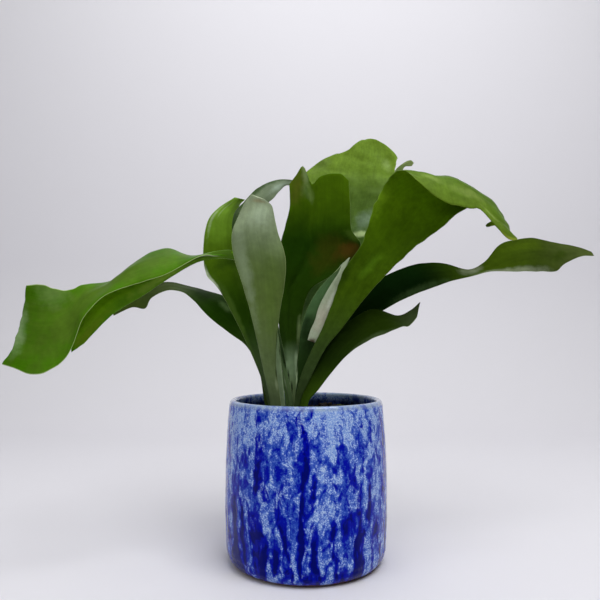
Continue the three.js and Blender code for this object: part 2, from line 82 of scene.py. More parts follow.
FRONDS = {
    "frond_left_front": [{"stations": [
        [-24, -18, 97, -16.5, -18, 97, 0],
        [-27, -21, 120, -19, -21, 120, 0],
        [-33, -27, 150, -22.5, -27, 150, 1],
        [-40, -38, 184, -20, -38, 184, 3],
        [-46, -46, 207, -16, -46, 207, 4],
        [-52, -53, 228, -15, -51, 226, 5],
        [-53, -56, 243, -20.5, -53, 245, 5],
        [-49, -57, 254, -23.5, -53, 258, 4],
        [-44, -57, 265, -25, -53, 264, 3],
        [-39, -58, 271, -30, -56, 268, 1],
    ]}],
    "frond_left_long": [{"stations": [
        [-17.5, -14, 97, -14, -14, 97, 0],
        [-20, -15, 119, -16, -15, 119, 0],
        [-23.5, -17, 145, -18.5, -17, 145, 0],
        [-27, -20, 172, -21.5, -20, 173, 0],
        [-33, -26, 198, -27, -26, 201, 0],
        [-44, -31, 222, -38, -31, 227, 0],
        [-58, -35, 228, -57, -34, 235, 0],
        [-79, -36, 226, -76, -37, 231, 1],
        [-99, -36, 215, -96, -37, 225, 2],
        [-119, -38, 201, -117, -38, 217, 2],
        [-141, -42, 186, -141, -43, 206, 2],
        [-158, -46, 167, -156, -48, 191, 1],
        [-167, -49, 159, -168, -50, 172, 0],
    ]}, {"tip": [-0.05, 0.13, 0.14, 0.17, 0.15, 0.12, 0], "stations": [
        [-54, -33.5, 230, -52.5, -33.5, 234, 0],
        [-67, -37, 230, -66.5, -33, 234, 0],
        [-77.5, -43, 229, -87, -28, 231, 0],
        [-101, -49, 215, -105, -26, 237.5, 2],
        [-125, -55, 206, -123, -30, 230, 3],
        [-144, -60, 196, -143, -35, 213, 2],
        [-155, -62, 182, -158, -42, 209, 1],
        [-166, -60, 156, -173, -48, 203.5, -2],
        [-188, -56, 144, -187, -54, 207, -4],
        [-215, -52, 151, -196, -60, 206, -3],
    ]}],
    "frond_left_upright": [{"stations": [
        [-24, -7, 97, -18.5, -7, 97, 0],
        [-29.5, -8, 118.5, -24, -8, 118.5, 0],
        [-35, -8, 138.5, -26.5, -8, 140, 0],
        [-45.5, -8, 163.5, -34.5, -6, 166.5, 0],
        [-56, -7, 185, -40, -2, 190, 1],
        [-69, -4, 208, -45, 4, 213, 2],
        [-80, -1, 222, -50, 10, 232, 3],
        [-83, 2, 242, -55, 16, 250, 3],
        [-80.5, 6, 264, -59, 20, 269, 3],
        [-73, 10, 276, -56, 19, 281, 2],
        [-59, 12, 286.5, -50.5, 14, 285, 0],
    ]}],
    "frond_back_arch": [{"stations": [
        [-13.5, -11, 97, -10.5, -11, 97, 0],
        [-13.5, -12, 119, -10, -12, 119, 0],
        [-17.5, -13, 139, -14, -13, 140.5, 0],
        [-22.5, -14, 164, -18.5, -14, 165.5, 0],
        [-33, -15, 195, -26, -15, 198, 0],
        [-47, -15, 224, -37, -15, 229, 1],
        [-57, -14, 246, -44, -14, 249, 2],
        [-57, -12, 266, -40, -12, 263, 2],
        [-49, -8, 278, -33, -8, 274, 2],
        [-39, -3, 290, -26, -3, 282, 1],
        [-27, 4, 298, -21, 4, 290, 1],
        [-15, 10, 301, -15, 10, 296, 0],
        [0, 14, 299, -3, 14, 294, 0],
    ]}],
    "frond_left_low": [{"stations": [
        [-26, -1, 97, -20.5, -1, 97, 0],
        [-32.5, -1, 118, -27, -1, 118, 0],
        [-37, 0, 143, -30, 2, 144.5, 0],
        [-47, 2, 162.5, -35.5, 8, 168, 1],
        [-62, 5, 174, -46, 14, 186, 2],
        [-80, 9, 188, -62, 21, 202, 2],
        [-93, 14, 201, -84, 27, 210, 1],
        [-103, 19, 208, -102, 32, 215, 0],
        [-116, 24, 210, -118, 34, 218, 0],
        [-130, 28, 204, -132, 35, 216, 1],
        [-137, 32, 195, -144, 35, 211, 1],
        [-149, 34, 196, -157, 36, 208, 1],
        [-165, 36, 189, -168, 36, 197, 0],
    ]}],
    "frond_centre": [{"tip": [0.75, 0.4, 0.05, 0.85, 0.6, 0.5, 0.5, 0.58, 0.95], "stations": [
        [-10, -7.5, 97, -6.5, -7.5, 97, 0],
        [-11.5, -8, 118.5, -8, -8, 118.5, 0],
        [-15.5, -8, 143, -6.5, -8, 143, 0],
        [-20.5, -8, 172, -4.5, -8, 172, -1],
        [-22, -7, 193, -2, -7, 193, -2],
        [-23, -6, 209, 5, -6, 209, -3],
        [-22, -5, 225, 25, -7, 222, -4],
        [-21, -5, 241, 43, -10, 241, -5],
        [-17, -7, 257, 36, -11, 255, -5],
        [-13, -10, 272, 35, -12, 273, -5],
        [-13, -14, 286, 34, -15, 292, -4],
        [-14, -18, 304, 34, -18, 307, -3],
    ]}],
    "frond_centre_back": [{"tip": [1.95, 1.33, 0.95, 0.8, 0.3, 0.07, 0.13, 0.44, 1.12],
                           "stations": [
        [-13, -0.5, 97, -7.5, -0.5, 97, 0],
        [-16, -1, 118, -10, -1, 118, 0],
        [-19, 1, 144.5, -8, 1, 144.5, 0],
        [-19, 6, 172, -2.5, 6, 172, 0],
        [-15, 12, 201, 16, 12, 201, -2],
        [-8, 20, 227, 36, 21, 227, -3],
        [-2, 30, 254, 60, 32, 254, -4],
        [0, 40, 280, 75, 43, 281, -4],
        [0, 48, 302, 84, 51, 301, -3],
        [1, 55, 321, 82, 58, 321, -3],
        [7, 60, 339, 86, 64, 340, -2],
        [14, 62, 356, 82, 66, 357, -2],
    ]}],
    "frond_right_broad": [{"tip": [1.0, 0.2, 0.2, 0.45, 0.8, 1.3, 0.65, 0.2, 0.95], "stations": [
        [-10.5, -19, 97, -6, -19, 97, 0],
        [-9, -20.5, 120, -5, -20.5, 120, 0],
        [-4, -22.5, 141.5, 4, -22.5, 141, 0],
        [4.5, -25, 161.5, 14.5, -25, 161.5, 0],
        [12, -27, 177, 27, -27, 177, -1],
        [21, -29, 200, 43, -29, 198, -2],
        [28, -30, 220, 60, -31, 217, -4],
        [42, -31, 241, 80, -34, 236, -6],
        [50, -33, 266, 99, -36, 250, -8],
        [58, -35, 283, 118, -38, 265, -10],
        [64, -39, 290, 141, -41, 266, -10],
        [72, -45, 292, 145, -47, 253, -10],
        [75, -51, 288, 146, -53, 244, -7],
        [78, -55, 282, 149, -57, 238, -4],
        [80, -58, 274, 149.5, -60, 231, -2],
    ]}, {"stations": [
        [137.5, -58, 248, 136.5, -58, 251, 0],
        [132.6, -57.3, 248.6, 131.4, -57.3, 251.8, 0],
        [129, -56.8, 247.8, 128.2, -56.8, 250.4, 0],
        [127.2, -56.5, 247.7, 126.7, -56.5, 249, 0],
    ]}],
    "frond_right_long": [{"stations": [
        [-5.5, -4, 97, -0.5, -4, 97, 0],
        [-5.5, -4, 118, -1, -4, 118, 0],
        [5, -2, 143, 12.5, -2, 140, 0],
        [21, 2, 171.5, 32, 0, 165, 0],
        [38, 8, 199, 51, 3, 184, 1],
        [57, 14, 216, 68, 7, 195, 2],
        [76, 20, 226, 86, 11, 204, 3],
        [97, 26, 233, 104, 17, 211, 3],
        [119, 32, 234, 121, 23, 217, 2],
        [141, 36, 229, 140, 29, 222, 0],
        [157, 40, 237, 160, 33, 227, 0],
        [173, 45, 253, 183, 35, 227, 2],
        [199, 49, 259, 205, 38, 228, 3],
        [213, 50.5, 257.5, 218.5, 40, 228, 3],
        [229, 52, 254.5, 228, 43, 235, 2],
        [246, 53, 251, 244, 46, 242, 0],
        [257, 53, 247, 257, 49, 243, 0],
    ]}],
    "frond_right_low": [{"stations": [
        [-5.5, -11, 97, 0.5, -11, 97, 0],
        [-6, -12, 119, 1.5, -12, 119, 0],
        [-1.5, -12, 132.5, 10, -13, 130.5, 0],
        [5.5, -12, 148, 21.5, -15, 145.5, 0],
        [17, -11, 167, 33, -19, 158, 1],
        [33, -11, 182, 48, -23, 168, 2],
        [52, -12, 192, 62, -26, 174, 2],
        [70, -15, 187, 72, -27, 178, 0],
        [80, -19, 191, 77, -28, 178, 0],
        [87, -22, 197, 83, -28, 185, 0],
    ]}],
    "frond_back_curl": [{"stations": [
        [-5, 3, 97, -1.5, 3, 97, 0],
        [-5.5, 4, 117.5, -1.5, 4, 117.5, 0],
        [-6, 8, 140, -0.5, 8, 140, 0],
        [-4, 15, 165, 2.5, 15, 165, 0],
        [5, 25, 190, 12, 25, 190, 0],
        [25.5, 40, 221, 32.5, 40, 221, 0],
        [52, 60, 264, 60, 60, 264, 0],
        [72, 74, 301, 80, 74, 300, 0],
        [85, 80, 328, 91, 80, 324, 0],
        [94, 81, 337, 95, 81, 333, 0],
        [101, 81, 340, 100, 81, 334, 0],
        [104, 80, 337, 102, 80, 334, 0],
    ]}],
    "frond_short_folded": [{"stations": [
        [-9.5, -14, 97, -6.5, -14, 97, 0],
        [-8.5, -15, 119.5, -5.5, -15, 119.5, 0],
        [-7.5, -16, 143.5, -1.5, -16, 143.5, 0],
        [-6, -17, 160.5, 7, -17, 162.5, 0],
        [-4.5, -18, 173.5, 11.5, -18, 176.5, 0],
        [-1.5, -18.5, 185.5, 14.5, -18.5, 188.5, 0],
        [2.5, -18.5, 195.5, 18.5, -18.5, 198.5, 0],
        [8.5, -18.5, 205.5, 23.5, -18.5, 208.5, 0],
        [16, -19, 214.5, 27.5, -19, 218, 0],
        [23.5, -20, 221.5, 31.5, -20, 228, 0],
        [26.5, -21.5, 224.5, 33.5, -21.5, 231, 0],
        [24.5, -23, 219, 31, -23, 224.5, 0],
        [19, -24, 210.5, 27, -24, 212.5, 0],
        [14, -24, 202, 23.5, -24, 202, 0],
        [9.5, -24, 193, 19.5, -24, 191, 0],
        [6.5, -24, 183, 15.5, -24, 181, 0],
        [3, -23.5, 175, 12, -23.5, 172, 0],
        [1, -22.5, 168, 8, -22.5, 165.5, 0],
    ]}],
}

# How each frond looks. `tones` are its colours, each with its place as a share of the length;
# they hold the frond's own green and also painted shade, which makes them darkest where the frond
# runs under others. `lean` is painted side light: how much lighter it grows from the middle to the
# right margin. `felted` is +1 where the face that bulges outwards is the felted underside and -1
# where it is the upper side. `felt` is how thick the felt lies there and `bare` the two shares of
# the length between which it sets in. `wave` is the depth of the margin's waves and `crease`
# (across from -1 to 1, depth, width) a soft fold along the blade, both in millimetres but for the
# places across. `ragged` is how far the margin wavers, also in millimetres. `pucker` is the
# strength of the fine wrinkles, `rim` that of the pale margin and `gloss` that of the sheen.
# `marks` are soft patches: across, along, half width, half length, colour and strength; some are
# the frond's own blotches and some are painted highlights or painted shade, as noted at each. On a
# frond's second strap, along runs from 1 to 2 and the tone is the last one.
USUAL_LOOK = dict(felted=-1, felt=0.7, bare=(0.2, 0.5), lean=0.0, gloss=0.05, pucker=0.15,
                  ragged=0.2)


def frond_look(slot, **own):
    """A frond's look: its material slot, and its own values over the usual ones."""
    return {**USUAL_LOOK, "slot": slot, **own}


LOOKS = {
    "frond_left_front": frond_look(
        "frond_felted", felted=1, felt=0.5, bare=(0.5, 0.8), lean=-0.05, rim=0.8, gloss=0.1,
        tones=((0.12, (95, 112, 74)), (0.4, (86, 106, 51)),
               (0.66, (88, 107, 60)), (0.95, (66, 78, 32))),
        wave=0.8, crease=(-0.25, 1.6, 0.2), pucker=0.1, ragged=0.15,
        marks=((0.2, 0.78, 0.9, 0.14, (176, 194, 164), 0.5),
               (-0.7, 0.52, 0.45, 0.3, (160, 176, 146), 0.38),
               (0.4, 0.42, 0.6, 0.22, (84, 108, 42), 0.45),
               # Painted shade: the brownish band just below the tip's edge.
               (0.1, 0.94, 0.9, 0.05, (116, 108, 78), 0.7),
               (0.1, 1.0, 1.2, 0.016, (206, 214, 184), 0.9),
               # Painted shade: the two dark patches low on the right margin, among the other
               # stalks.
               (1.0, 0.285, 0.2, 0.04, (20, 38, 8), 0.9),
               (1.0, 0.2, 0.3, 0.03, (12, 26, 6), 0.9),
               (0.7, 0.17, 0.3, 0.025, (148, 164, 124), 0.6))),
    "frond_left_long": frond_look(
        "frond_young", rim=0.8, gloss=0.15,
        tones=((0.12, (122, 142, 108)), (0.4, (62, 92, 30)),
               (0.66, (82, 117, 27)), (0.95, (63, 113, 3))),
        wave=1.0, crease=(0.1, 0.8, 0.3), ragged=0.5,
        marks=((0.5, 0.95, 1.6, 0.3, (104, 150, 10), 0.85),
               (-0.6, 0.92, 0.6, 0.1, (96, 112, 24), 0.6),
               (-0.35, 0.72, 0.6, 0.09, (108, 138, 46), 0.7),
               (0.0, 0.28, 1.5, 0.06, (112, 136, 84), 0.5),
               # Painted shade: the dark patch low on the right margin, among the other stalks.
               (0.95, 0.21, 0.5, 0.025, (24, 42, 12), 0.8),
               (0.0, 1.6, 1.6, 0.9, (84, 102, 36), 0.6),
               # Painted highlight along the end lobe's right margin.
               (0.85, 1.85, 0.5, 0.12, (118, 146, 80), 0.5),
               (-0.1, 2.0, 0.8, 0.05, (150, 178, 128), 0.6))),
    "frond_left_upright": frond_look(
        "frond_young", rim=0.6, gloss=0.1,
        tones=((0.12, (70, 86, 56)), (0.4, (32, 58, 5)),
               (0.66, (66, 94, 12)), (0.95, (110, 148, 46))),
        wave=0.9, crease=(0.2, 0.8, 0.3), ragged=0.3,
        # Painted shadow: the first mark is the dark band that the long frond's stalk casts across
        # this blade.
        marks=((0.1, 0.61, 1.3, 0.05, (38, 60, 6), 0.8),
               (-0.8, 0.4, 0.4, 0.2, (72, 98, 36), 0.7),
               (-0.97, 0.56, 0.12, 0.1, (190, 205, 170), 0.8),
               (-0.8, 0.84, 0.16, 0.14, (158, 176, 132), 0.6),
               (-0.45, 0.9, 0.12, 0.1, (150, 172, 118), 0.5),
               (0.2, 1.0, 0.8, 0.04, (44, 66, 16), 0.8))),
    "frond_back_arch": frond_look(
        "frond_felted", felted=1, felt=0.3, bare=(0.5, 0.7), lean=0.1, rim=0.5,
        tones=((0.12, (84, 106, 68)), (0.4, (44, 64, 30)),
               (0.66, (48, 66, 30)), (0.95, (76, 92, 72))),
        wave=0.5, crease=(0.3, 0.6, 0.3), pucker=0.1,
        marks=((0.4, 0.84, 0.6, 0.12, (160, 178, 162), 0.5),
               (-0.8, 0.7, 0.5, 0.4, (44, 66, 28), 0.8),
               # Painted shade: these two dark patches low down, among the other stalks.
               (0.5, 0.23, 1.2, 0.06, (14, 32, 8), 0.8),
               (0.7, 0.205, 0.9, 0.035, (12, 28, 6), 0.9),
               (-0.7, 0.155, 0.6, 0.03, (140, 160, 118), 0.6))),
    "frond_left_low": frond_look(
        "frond_dark", lean=-0.1, rim=0.3,
        tones=((0.12, (56, 72, 30)), (0.4, (32, 64, 3)),
               (0.66, (54, 66, 34)), (0.95, (56, 72, 24))),
        wave=0.7, crease=(0.0, 0.5, 0.3), pucker=0.1, ragged=0.25,
        marks=((0.0, 0.49, 1.4, 0.06, (22, 46, 3), 0.8),
               # Painted highlight: the bright spot of sheen in the middle of the blade.
               (0.2, 0.4, 0.35, 0.04, (112, 142, 84), 0.6))),
    "frond_centre": frond_look(
        "frond_mature", rim=0.1,
        tones=((0.12, (127, 151, 100)), (0.19, (126, 152, 112)), (0.265, (36, 60, 12)),
               (0.45, (28, 51, 4)), (0.66, (27, 54, 4)), (0.95, (73, 104, 10))),
        wave=1.1, crease=(-0.25, -2.6, 0.12), pucker=0.2,
        marks=((0.4, 0.63, 0.8, 0.13, (56, 54, 10), 0.6),
               (0.75, 0.635, 0.45, 0.06, (92, 56, 22), 0.55),
               (1.0, 0.71, 0.35, 0.05, (82, 112, 36), 0.75),
               # Painted shade: these three dark patches low on the stalk, among the other stalks.
               (-0.75, 0.26, 0.6, 0.07, (26, 46, 10), 0.8),
               (-0.65, 0.175, 0.4, 0.03, (10, 24, 6), 0.95),
               (-0.2, 0.14, 0.4, 0.025, (14, 28, 8), 0.9),
               (0.85, 0.29, 0.3, 0.06, (116, 138, 88), 0.8),
               (0.7, 0.2, 0.35, 0.05, (178, 204, 160), 0.7),
               # Painted sheen: these three pale patches along the fold of the left lobe's tip.
               (-0.48, 0.91, 0.25, 0.05, (112, 136, 84), 0.4),
               (-0.46, 0.97, 0.18, 0.07, (132, 154, 96), 0.8),
               (-0.3, 0.93, 0.18, 0.07, (116, 144, 70), 0.6),
               (-0.75, 0.94, 0.4, 0.12, (96, 92, 36), 0.5))),
    "frond_centre_back": frond_look(
        "frond_young", lean=0.08, rim=0.4, gloss=0.1,
        tones=((0.12, (110, 142, 88)), (0.46, (44, 68, 24)),
               (0.66, (60, 82, 27)), (0.95, (104, 132, 41))),
        wave=1.4, crease=(0.5, 1.2, 0.2), pucker=0.75, ragged=0.9,
        marks=((0.55, 0.615, 0.45, 0.05, (100, 118, 100), 0.7),
               # The crescent is partly the curled margin's pale edge and partly painted highlight;
               # the next mark is painted highlights on the wrinkles near the top edge.
               (0.55, 0.566, 0.5, 0.014, (158, 176, 124), 0.8),
               (0.8, 0.89, 0.2, 0.04, (146, 170, 100), 0.5),
               (-0.7, 0.95, 0.3, 0.1, (84, 102, 48), 0.5))),
    "frond_right_broad": frond_look(
        "frond_mature", felt=0.04, rim=0.1,
        tones=((0.12, (52, 69, 36)), (0.4, (53, 76, 8)),
               (0.66, (70, 102, 5)), (0.95, (85, 112, 12))),
        wave=2.0, crease=(-0.35, 1.5, 0.22), pucker=0.6, ragged=0.9,
        # Painted light on the soft ridge near the left margin.
        marks=((-0.9, 0.61, 0.3, 0.08, (108, 144, 26), 0.6),
               (-0.05, 0.45, 0.4, 0.05, (84, 122, 22), 0.6),
               (-0.4, 0.6, 0.45, 0.05, (88, 122, 12), 0.5),
               # Painted shade along the left margin.
               (-0.95, 0.42, 0.4, 0.06, (32, 52, 7), 0.6),
               # On the flap: the first three are painted highlights along its wrinkles, the next
               # two painted shade between them.
               (0.05, 0.87, 0.5, 0.06, (128, 148, 74), 0.5),
               (-0.6, 0.84, 0.3, 0.04, (134, 156, 78), 0.5),
               (0.45, 0.93, 0.3, 0.03, (132, 152, 80), 0.5),
               (-0.2, 0.93, 0.3, 0.03, (70, 96, 22), 0.5),
               (0.7, 0.86, 0.3, 0.04, (66, 92, 20), 0.5),
               (0.85, 1.0, 0.3, 0.03, (160, 172, 60), 0.6),
               (0.0, 1.75, 2.0, 0.4, (38, 46, 20), 0.8))),
    "frond_right_long": frond_look(
        "frond_dark", lean=0.1, rim=0.4, gloss=0.0,
        # Its first two tones are painted shade, where it runs under the broad frond.
        tones=((0.12, (8, 25, 4)), (0.4, (9, 27, 5)),
               (0.66, (52, 70, 10)), (0.95, (66, 78, 36))),
        wave=0.9, crease=(0.0, 0.6, 0.3),
        marks=((-0.3, 0.57, 1.2, 0.05, (110, 118, 94), 0.75),
               (0.85, 0.4, 0.4, 0.13, (52, 72, 38), 0.8),
               (0.98, 0.69, 0.35, 0.15, (136, 146, 118), 0.7),
               (-0.5, 0.74, 0.5, 0.08, (72, 94, 14), 0.5),
               (0.2, 0.85, 0.5, 0.07, (46, 66, 6), 0.6))),
    "frond_right_low": frond_look(
        "frond_dark", lean=0.15, rim=0.3, gloss=0.0,
        tones=((0.12, (68, 98, 22)), (0.4, (30, 47, 10)),
               (0.66, (29, 45, 6)), (0.95, (54, 66, 38))),
        wave=0.8, crease=(0.0, 0.6, 0.3), ragged=0.3,
        marks=((0.95, 0.58, 0.25, 0.18, (86, 104, 66), 0.4),
               # Painted shade: the large dark patch on the left half, beside the broad frond.
               (-0.85, 0.38, 0.5, 0.25, (7, 20, 2), 0.8))),
    "frond_back_curl": frond_look(
        "frond_young", felt=0.4, rim=0.3, gloss=0.1,
        tones=((0.12, (50, 66, 30)), (0.4, (60, 80, 36)),
               (0.66, (96, 116, 62)), (0.95, (117, 133, 80))),
        wave=0.3, crease=(0.0, 0.2, 0.3), pucker=0.1, ragged=0.1,
        marks=((-0.5, 0.84, 0.4, 0.06, (150, 164, 106), 0.6),)),
    "frond_short_folded": frond_look(
        "frond_felted", bare=(0.5, 0.6), rim=0.5,
        tones=((0.12, (28, 50, 16)), (0.4, (73, 104, 64)),
               (0.66, (88, 99, 64)), (0.95, (120, 120, 106))),
        wave=0.4, crease=(0.1, 0.5, 0.3),
        # Painted shade: these two dark patches low down, among the other stalks.
        marks=((0.0, 0.22, 1.2, 0.08, (10, 26, 4), 0.7),
               (-0.6, 0.26, 0.6, 0.06, (10, 26, 6), 0.7),
               (-1.0, 0.105, 0.6, 0.035, (160, 184, 140), 0.95),
               (0.0, 0.86, 1.5, 0.1, (168, 156, 142), 0.5),
               (0.3, 0.79, 0.5, 0.06, (200, 206, 190), 0.6),
               (0.0, 1.0, 1.2, 0.035, (70, 50, 36), 0.9))),
}


# ---------------------------------------------------------------- settings

def colour_setting(name, description, screen):
    """A colour property whose default is given as screen values."""
    return bpy.props.FloatVectorProperty(name=name, description=description, subtype="COLOR",
                                         size=3, min=0, max=1, default=srgb(*screen))


def length_setting(name, description, default):
    """A length property in metres."""
    return bpy.props.FloatProperty(name=name, description=description, default=default,
                                   min=0, unit="LENGTH", precision=4)


def power_setting(name, description, default):
    """A light's power in watts."""
    return bpy.props.FloatProperty(name=name, description=description, default=default,
                                   min=0, unit="POWER")


class PotSettings(bpy.types.PropertyGroup):
    """Sizes and colours of the glazed pot."""
    height: length_setting("Height", "From the foot to the lip", 122 * MM)
    radius: length_setting("Radius", "Of the wall at its widest", 62.5 * MM)
    lip_radius: length_setting("Lip radius", "Of the wall just below the lip", 59.5 * MM)
    foot_radius: length_setting("Foot radius", "Edge of the flat that it stands on", 51 * MM)
    well_radius: length_setting("Well radius", "Of the inside wall", 55 * MM)
    floor: length_setting("Floor thickness", "Of clay under the mix", 8 * MM)
    run_depth: length_setting("Run depth", "How far the runs of glaze stand out", 0.35 * MM)
    streaks: bpy.props.IntProperty(name="Streaks", description="Deep blue streaks round the pot",
                                   default=27, min=1, max=60)
    pool: colour_setting("Pooled glaze", "Where the glaze lies thickest", (2, 3, 100))
    deep: colour_setting("Deep glaze", "The deep blue streaks", (3, 10, 158))
    middle: colour_setting("Middle glaze", "The mottled blue between them", (42, 74, 178))
    light: colour_setting("Light glaze", "Its lighter clouds", (80, 112, 200))
    pale: colour_setting("Pale glaze", "The palest clouds", (124, 156, 218))
    frost: colour_setting("Glaze frost", "The fine specks", (190, 210, 234))
    lip: colour_setting("Lip glaze", "Where the glaze thins on the lip", (152, 170, 192))
    # Painted shade: the inside wall above the mix is coloured nearly black-blue for the shade in
    # the pot's well.
    inside: colour_setting("Inside glaze", "The dark glaze above the mix", (4, 7, 34))
    clay: colour_setting("Bare clay", "The unglazed foot", (118, 78, 62))


class MixSettings(bpy.types.PropertyGroup):
    """Sizes and colours of the potting mix."""
    level: length_setting("Level", "Height of the mix in the pot", 108 * MM)
    chips: bpy.props.IntProperty(name="Chips", description="Pieces of bark on the top",
                                 default=170, min=0, max=600)
    bark: colour_setting("Bark", "The chips' lighter brown", (46, 36, 27))
    bark_dark: colour_setting("Dark bark", "The chips' darker brown", (22, 17, 14))
    moss: colour_setting("Moss", "The moss near the wall", (120, 132, 52))


class FrondSettings(bpy.types.PropertyGroup):
    """Sizes and colours that all the fronds share."""
    stipe: length_setting("Stipe thickness", "Of a frond at its foot", 1.8 * MM)
    blade: length_setting("Blade thickness", "Of a frond from half way up", 1.0 * MM)
    felt: colour_setting("Felt", "The silvery hairs of the underside", (168, 182, 154))
    margin: colour_setting("Margin", "The thin pale edge", (174, 194, 126))


class StageSettings(bpy.types.PropertyGroup):
    """The floor, the lights and the camera."""
    ground: colour_setting("Floor", "The floor and its sweep", (222, 221, 226))
    key_power: power_setting("Key light", "Power of the overhead light", 18)
    fill_power: power_setting("Fill light", "Power of the front light", 6)
    wall_power: power_setting("Wall light", "Power of the light behind", 8)
    ambient: bpy.props.FloatProperty(name="Ambient", description="Strength of the even light",
                                     default=0.12, min=0)


# ---------------------------------------------------------------- meshes

def mesh_object(name, vertices, *faces, smooth=True):
    """A new object at the origin whose mesh holds the vertices and the arrays of faces."""
    mesh = bpy.data.meshes.new(name)
    corners = [face for array in faces for face in array.tolist()]
    mesh.from_pydata(vertices.tolist(), [], corners)
    mesh.polygons.foreach_set("use_smooth", np.full(len(mesh.polygons), smooth))
    mesh.update()
    made = bpy.data.objects.new(name, mesh)
    bpy.context.scene.collection.objects.link(made)
    return made


def grid_quads(index, closed=False):
    """Quads over a grid of vertex numbers, joined round along the second axis if closed."""
    following = np.roll(index, -1, axis=1) if closed else index[:, 1:]
    here = index if closed else index[:, :-1]
    return np.stack([here[:-1], following[:-1], following[1:], here[1:]], -1).reshape(-1, 4)


def turned_object(name, rings, first, last, smooth=True):
    """A closed round body: quads between rings of points that follow one another up the outside,
    and a fan of triangles to a centre point at both ends."""
    count = rings.shape[1]
    index = np.arange(rings.shape[0] * count).reshape(-1, count)
    following = np.roll(index, -1, axis=1)
    start = np.stack([following[0], index[0], np.full(count, index.size)], -1)
    end = np.stack([index[-1], following[-1], np.full(count, index.size + 1)], -1)
    vertices = np.concatenate([rings.reshape(-1, 3), [first, last]])
    return mesh_object(name, vertices, grid_quads(index, closed=True), start, end, smooth=smooth)


def smooth_noise(seed, points, size, octaves=3):
    """A smooth random value from about -1 to 1 at each point: the mean of waves that run in
    random directions with random phases, finer and weaker with each octave."""
    rng = np.random.default_rng(seed)
    total = np.zeros(points.shape[:-1])
    for octave in range(octaves):
        waves = rng.normal(size=(7, 3)) * (2 ** octave / size)
        phases = rng.uniform(0, 2 * math.pi, 7)
        total += np.sin(points @ waves.T + phases).mean(-1) * 0.6 ** octave
    return total * 1.6


# ---------------------------------------------------------------- the fronds

def along_stations(stations, t):
    """Station values at t, counted in stations, on the smooth curve through every station whose
    slope there is half the step between its neighbours."""
    values = np.asarray(stations, float)
    last = len(values) - 1
    padded = np.vstack([2 * values[0] - values[1], values, 2 * values[-1] - values[-2]])
    i = np.clip(np.floor(t).astype(int), 0, last - 1)
    s = (t - i)[..., None]
    a, b, c, d = (padded[i + k] for k in range(4))
    return b + 0.5 * s * (c - a + s * (2 * a - 5 * b + 4 * c - d + s * (3 * (b - c) + d - a)))


def unit(vectors):
    """The vectors at length one."""
    return vectors / np.maximum(np.linalg.norm(vectors, axis=-1, keepdims=True), 1e-12)


def grid_normals(points):
    """Across the grid crossed with along it, at length one: the face's outward direction."""
    along = np.gradient(points, axis=0)
    across = np.gradient(points, axis=1)
    return unit(np.cross(across, along))


# The waves along a margin: length in millimetres, height, and how many shifts of phase the right
# margin is ahead of the left one.
MARGIN_WAVES = ((9.0, 1.0, 1), (5.2, 0.6, -1), (2.9, 0.35, 2))
MARGIN_SHIFT = 1.9
FRAY_LENGTH = 2.2 * MM
DENT_SIZE = 9 * MM
WAVY_WIDTH = 30 * MM  # a narrower blade has shallower waves, creases and dents


def strap_middle(strap, look, seed, u, w):
    """The middle surface of a strap on a grid: u from -1 to 1 across and w from 0 to 1 along.
    The point is between the two margins in proportion to u, moved square to the blade by the
    bulge times one minus u squared, by the crease as a bell curve across, by waves along the
    margins that grow with the fourth power of u, and by random dents that are deepest where the
    frond is puckered. The last three set in above a fifth of the length. Ragged margins also
    waver within the blade, with the sixth power of u. An end that is cut into lobes wavers as
    two sines of u, and the twelfth power of u rounds its corners. Also gives the metres run
    along."""
    stations = strap["stations"]
    end = len(stations) - 1
    tip = strap.get("tip")
    shortfall = 0 * u
    if tip:
        column = (u + 1) / 2 * (len(tip) - 1)
        shortfall = along_stations([[x] for x in tip], column)[..., 0]
        bites = np.sin(17 * u + seed) + 0.7 * np.sin(31 * u + 2 * seed)
        shortfall = shortfall + look["ragged"] * (0.025 * bites * (1 - u ** 2) + 0.12 * u ** 12)
    t = w * end - shortfall * w ** 4
    values = along_stations(stations, t) * MM
    left, right, bulge = values[..., :3], values[..., 3:6], values[..., 6:]
    step = 0.01
    ahead = along_stations(stations, t + step) * MM
    behind = along_stations(stations, t - step) * MM
    run = (ahead - behind)[..., :3] + (ahead - behind)[..., 3:6]
    face = unit(np.cross(right - left, run))
    middle = left + (right - left) * (u[..., None] + 1) / 2 + face * bulge * (1 - u[..., None] ** 2)

    steps = np.linalg.norm(np.diff(middle, axis=0), axis=-1).mean(1)
    run_length = np.concatenate([[0], np.cumsum(steps)])[:, None] + 0 * u
    width = np.linalg.norm(right - left, axis=-1)
    opened = np.clip(w * 3 - 0.6, 0, 1) * np.clip(width / WAVY_WIDTH, 0, 1)
    place, depth, spread = look["crease"]
    fold = depth * MM * np.exp(-((u - place) / spread) ** 2) * opened
    rng = np.random.default_rng(seed)
    phases = rng.uniform(0, 2 * math.pi, 4)
    side = np.where(u < 0, 0.0, MARGIN_SHIFT)
    waves = sum(height * np.sin(run_length / (length * MM) + phase + turns * side)
                for (length, height, turns), phase in zip(MARGIN_WAVES, phases))
    wave = 0.5 * look["wave"] * MM * waves * u ** 4 * opened
    dents = smooth_noise(seed + 7, middle, DENT_SIZE) * (0.3 + 0.9 * look["pucker"]) * MM * opened
    frayed = np.sin(run_length / FRAY_LENGTH + phases[3] + side) * waves / 2
    nibble = look["ragged"] * MM * frayed * np.abs(u) ** 6 * np.sign(u) * opened
    middle = middle + unit(right - left) * nibble[..., None]
    return middle + face * (fold + wave + dents)[..., None], run_length


ROWS_PER_STATION = 9
TIP_ROWS = np.array([0.7, 0.45, 0.25, 0.1])  # extra rows before the end, in rows from it
NARROW = 30  # millimetres; a strap below it needs fewer columns
NARROW_COLUMNS, WIDE_COLUMNS = 24, 40


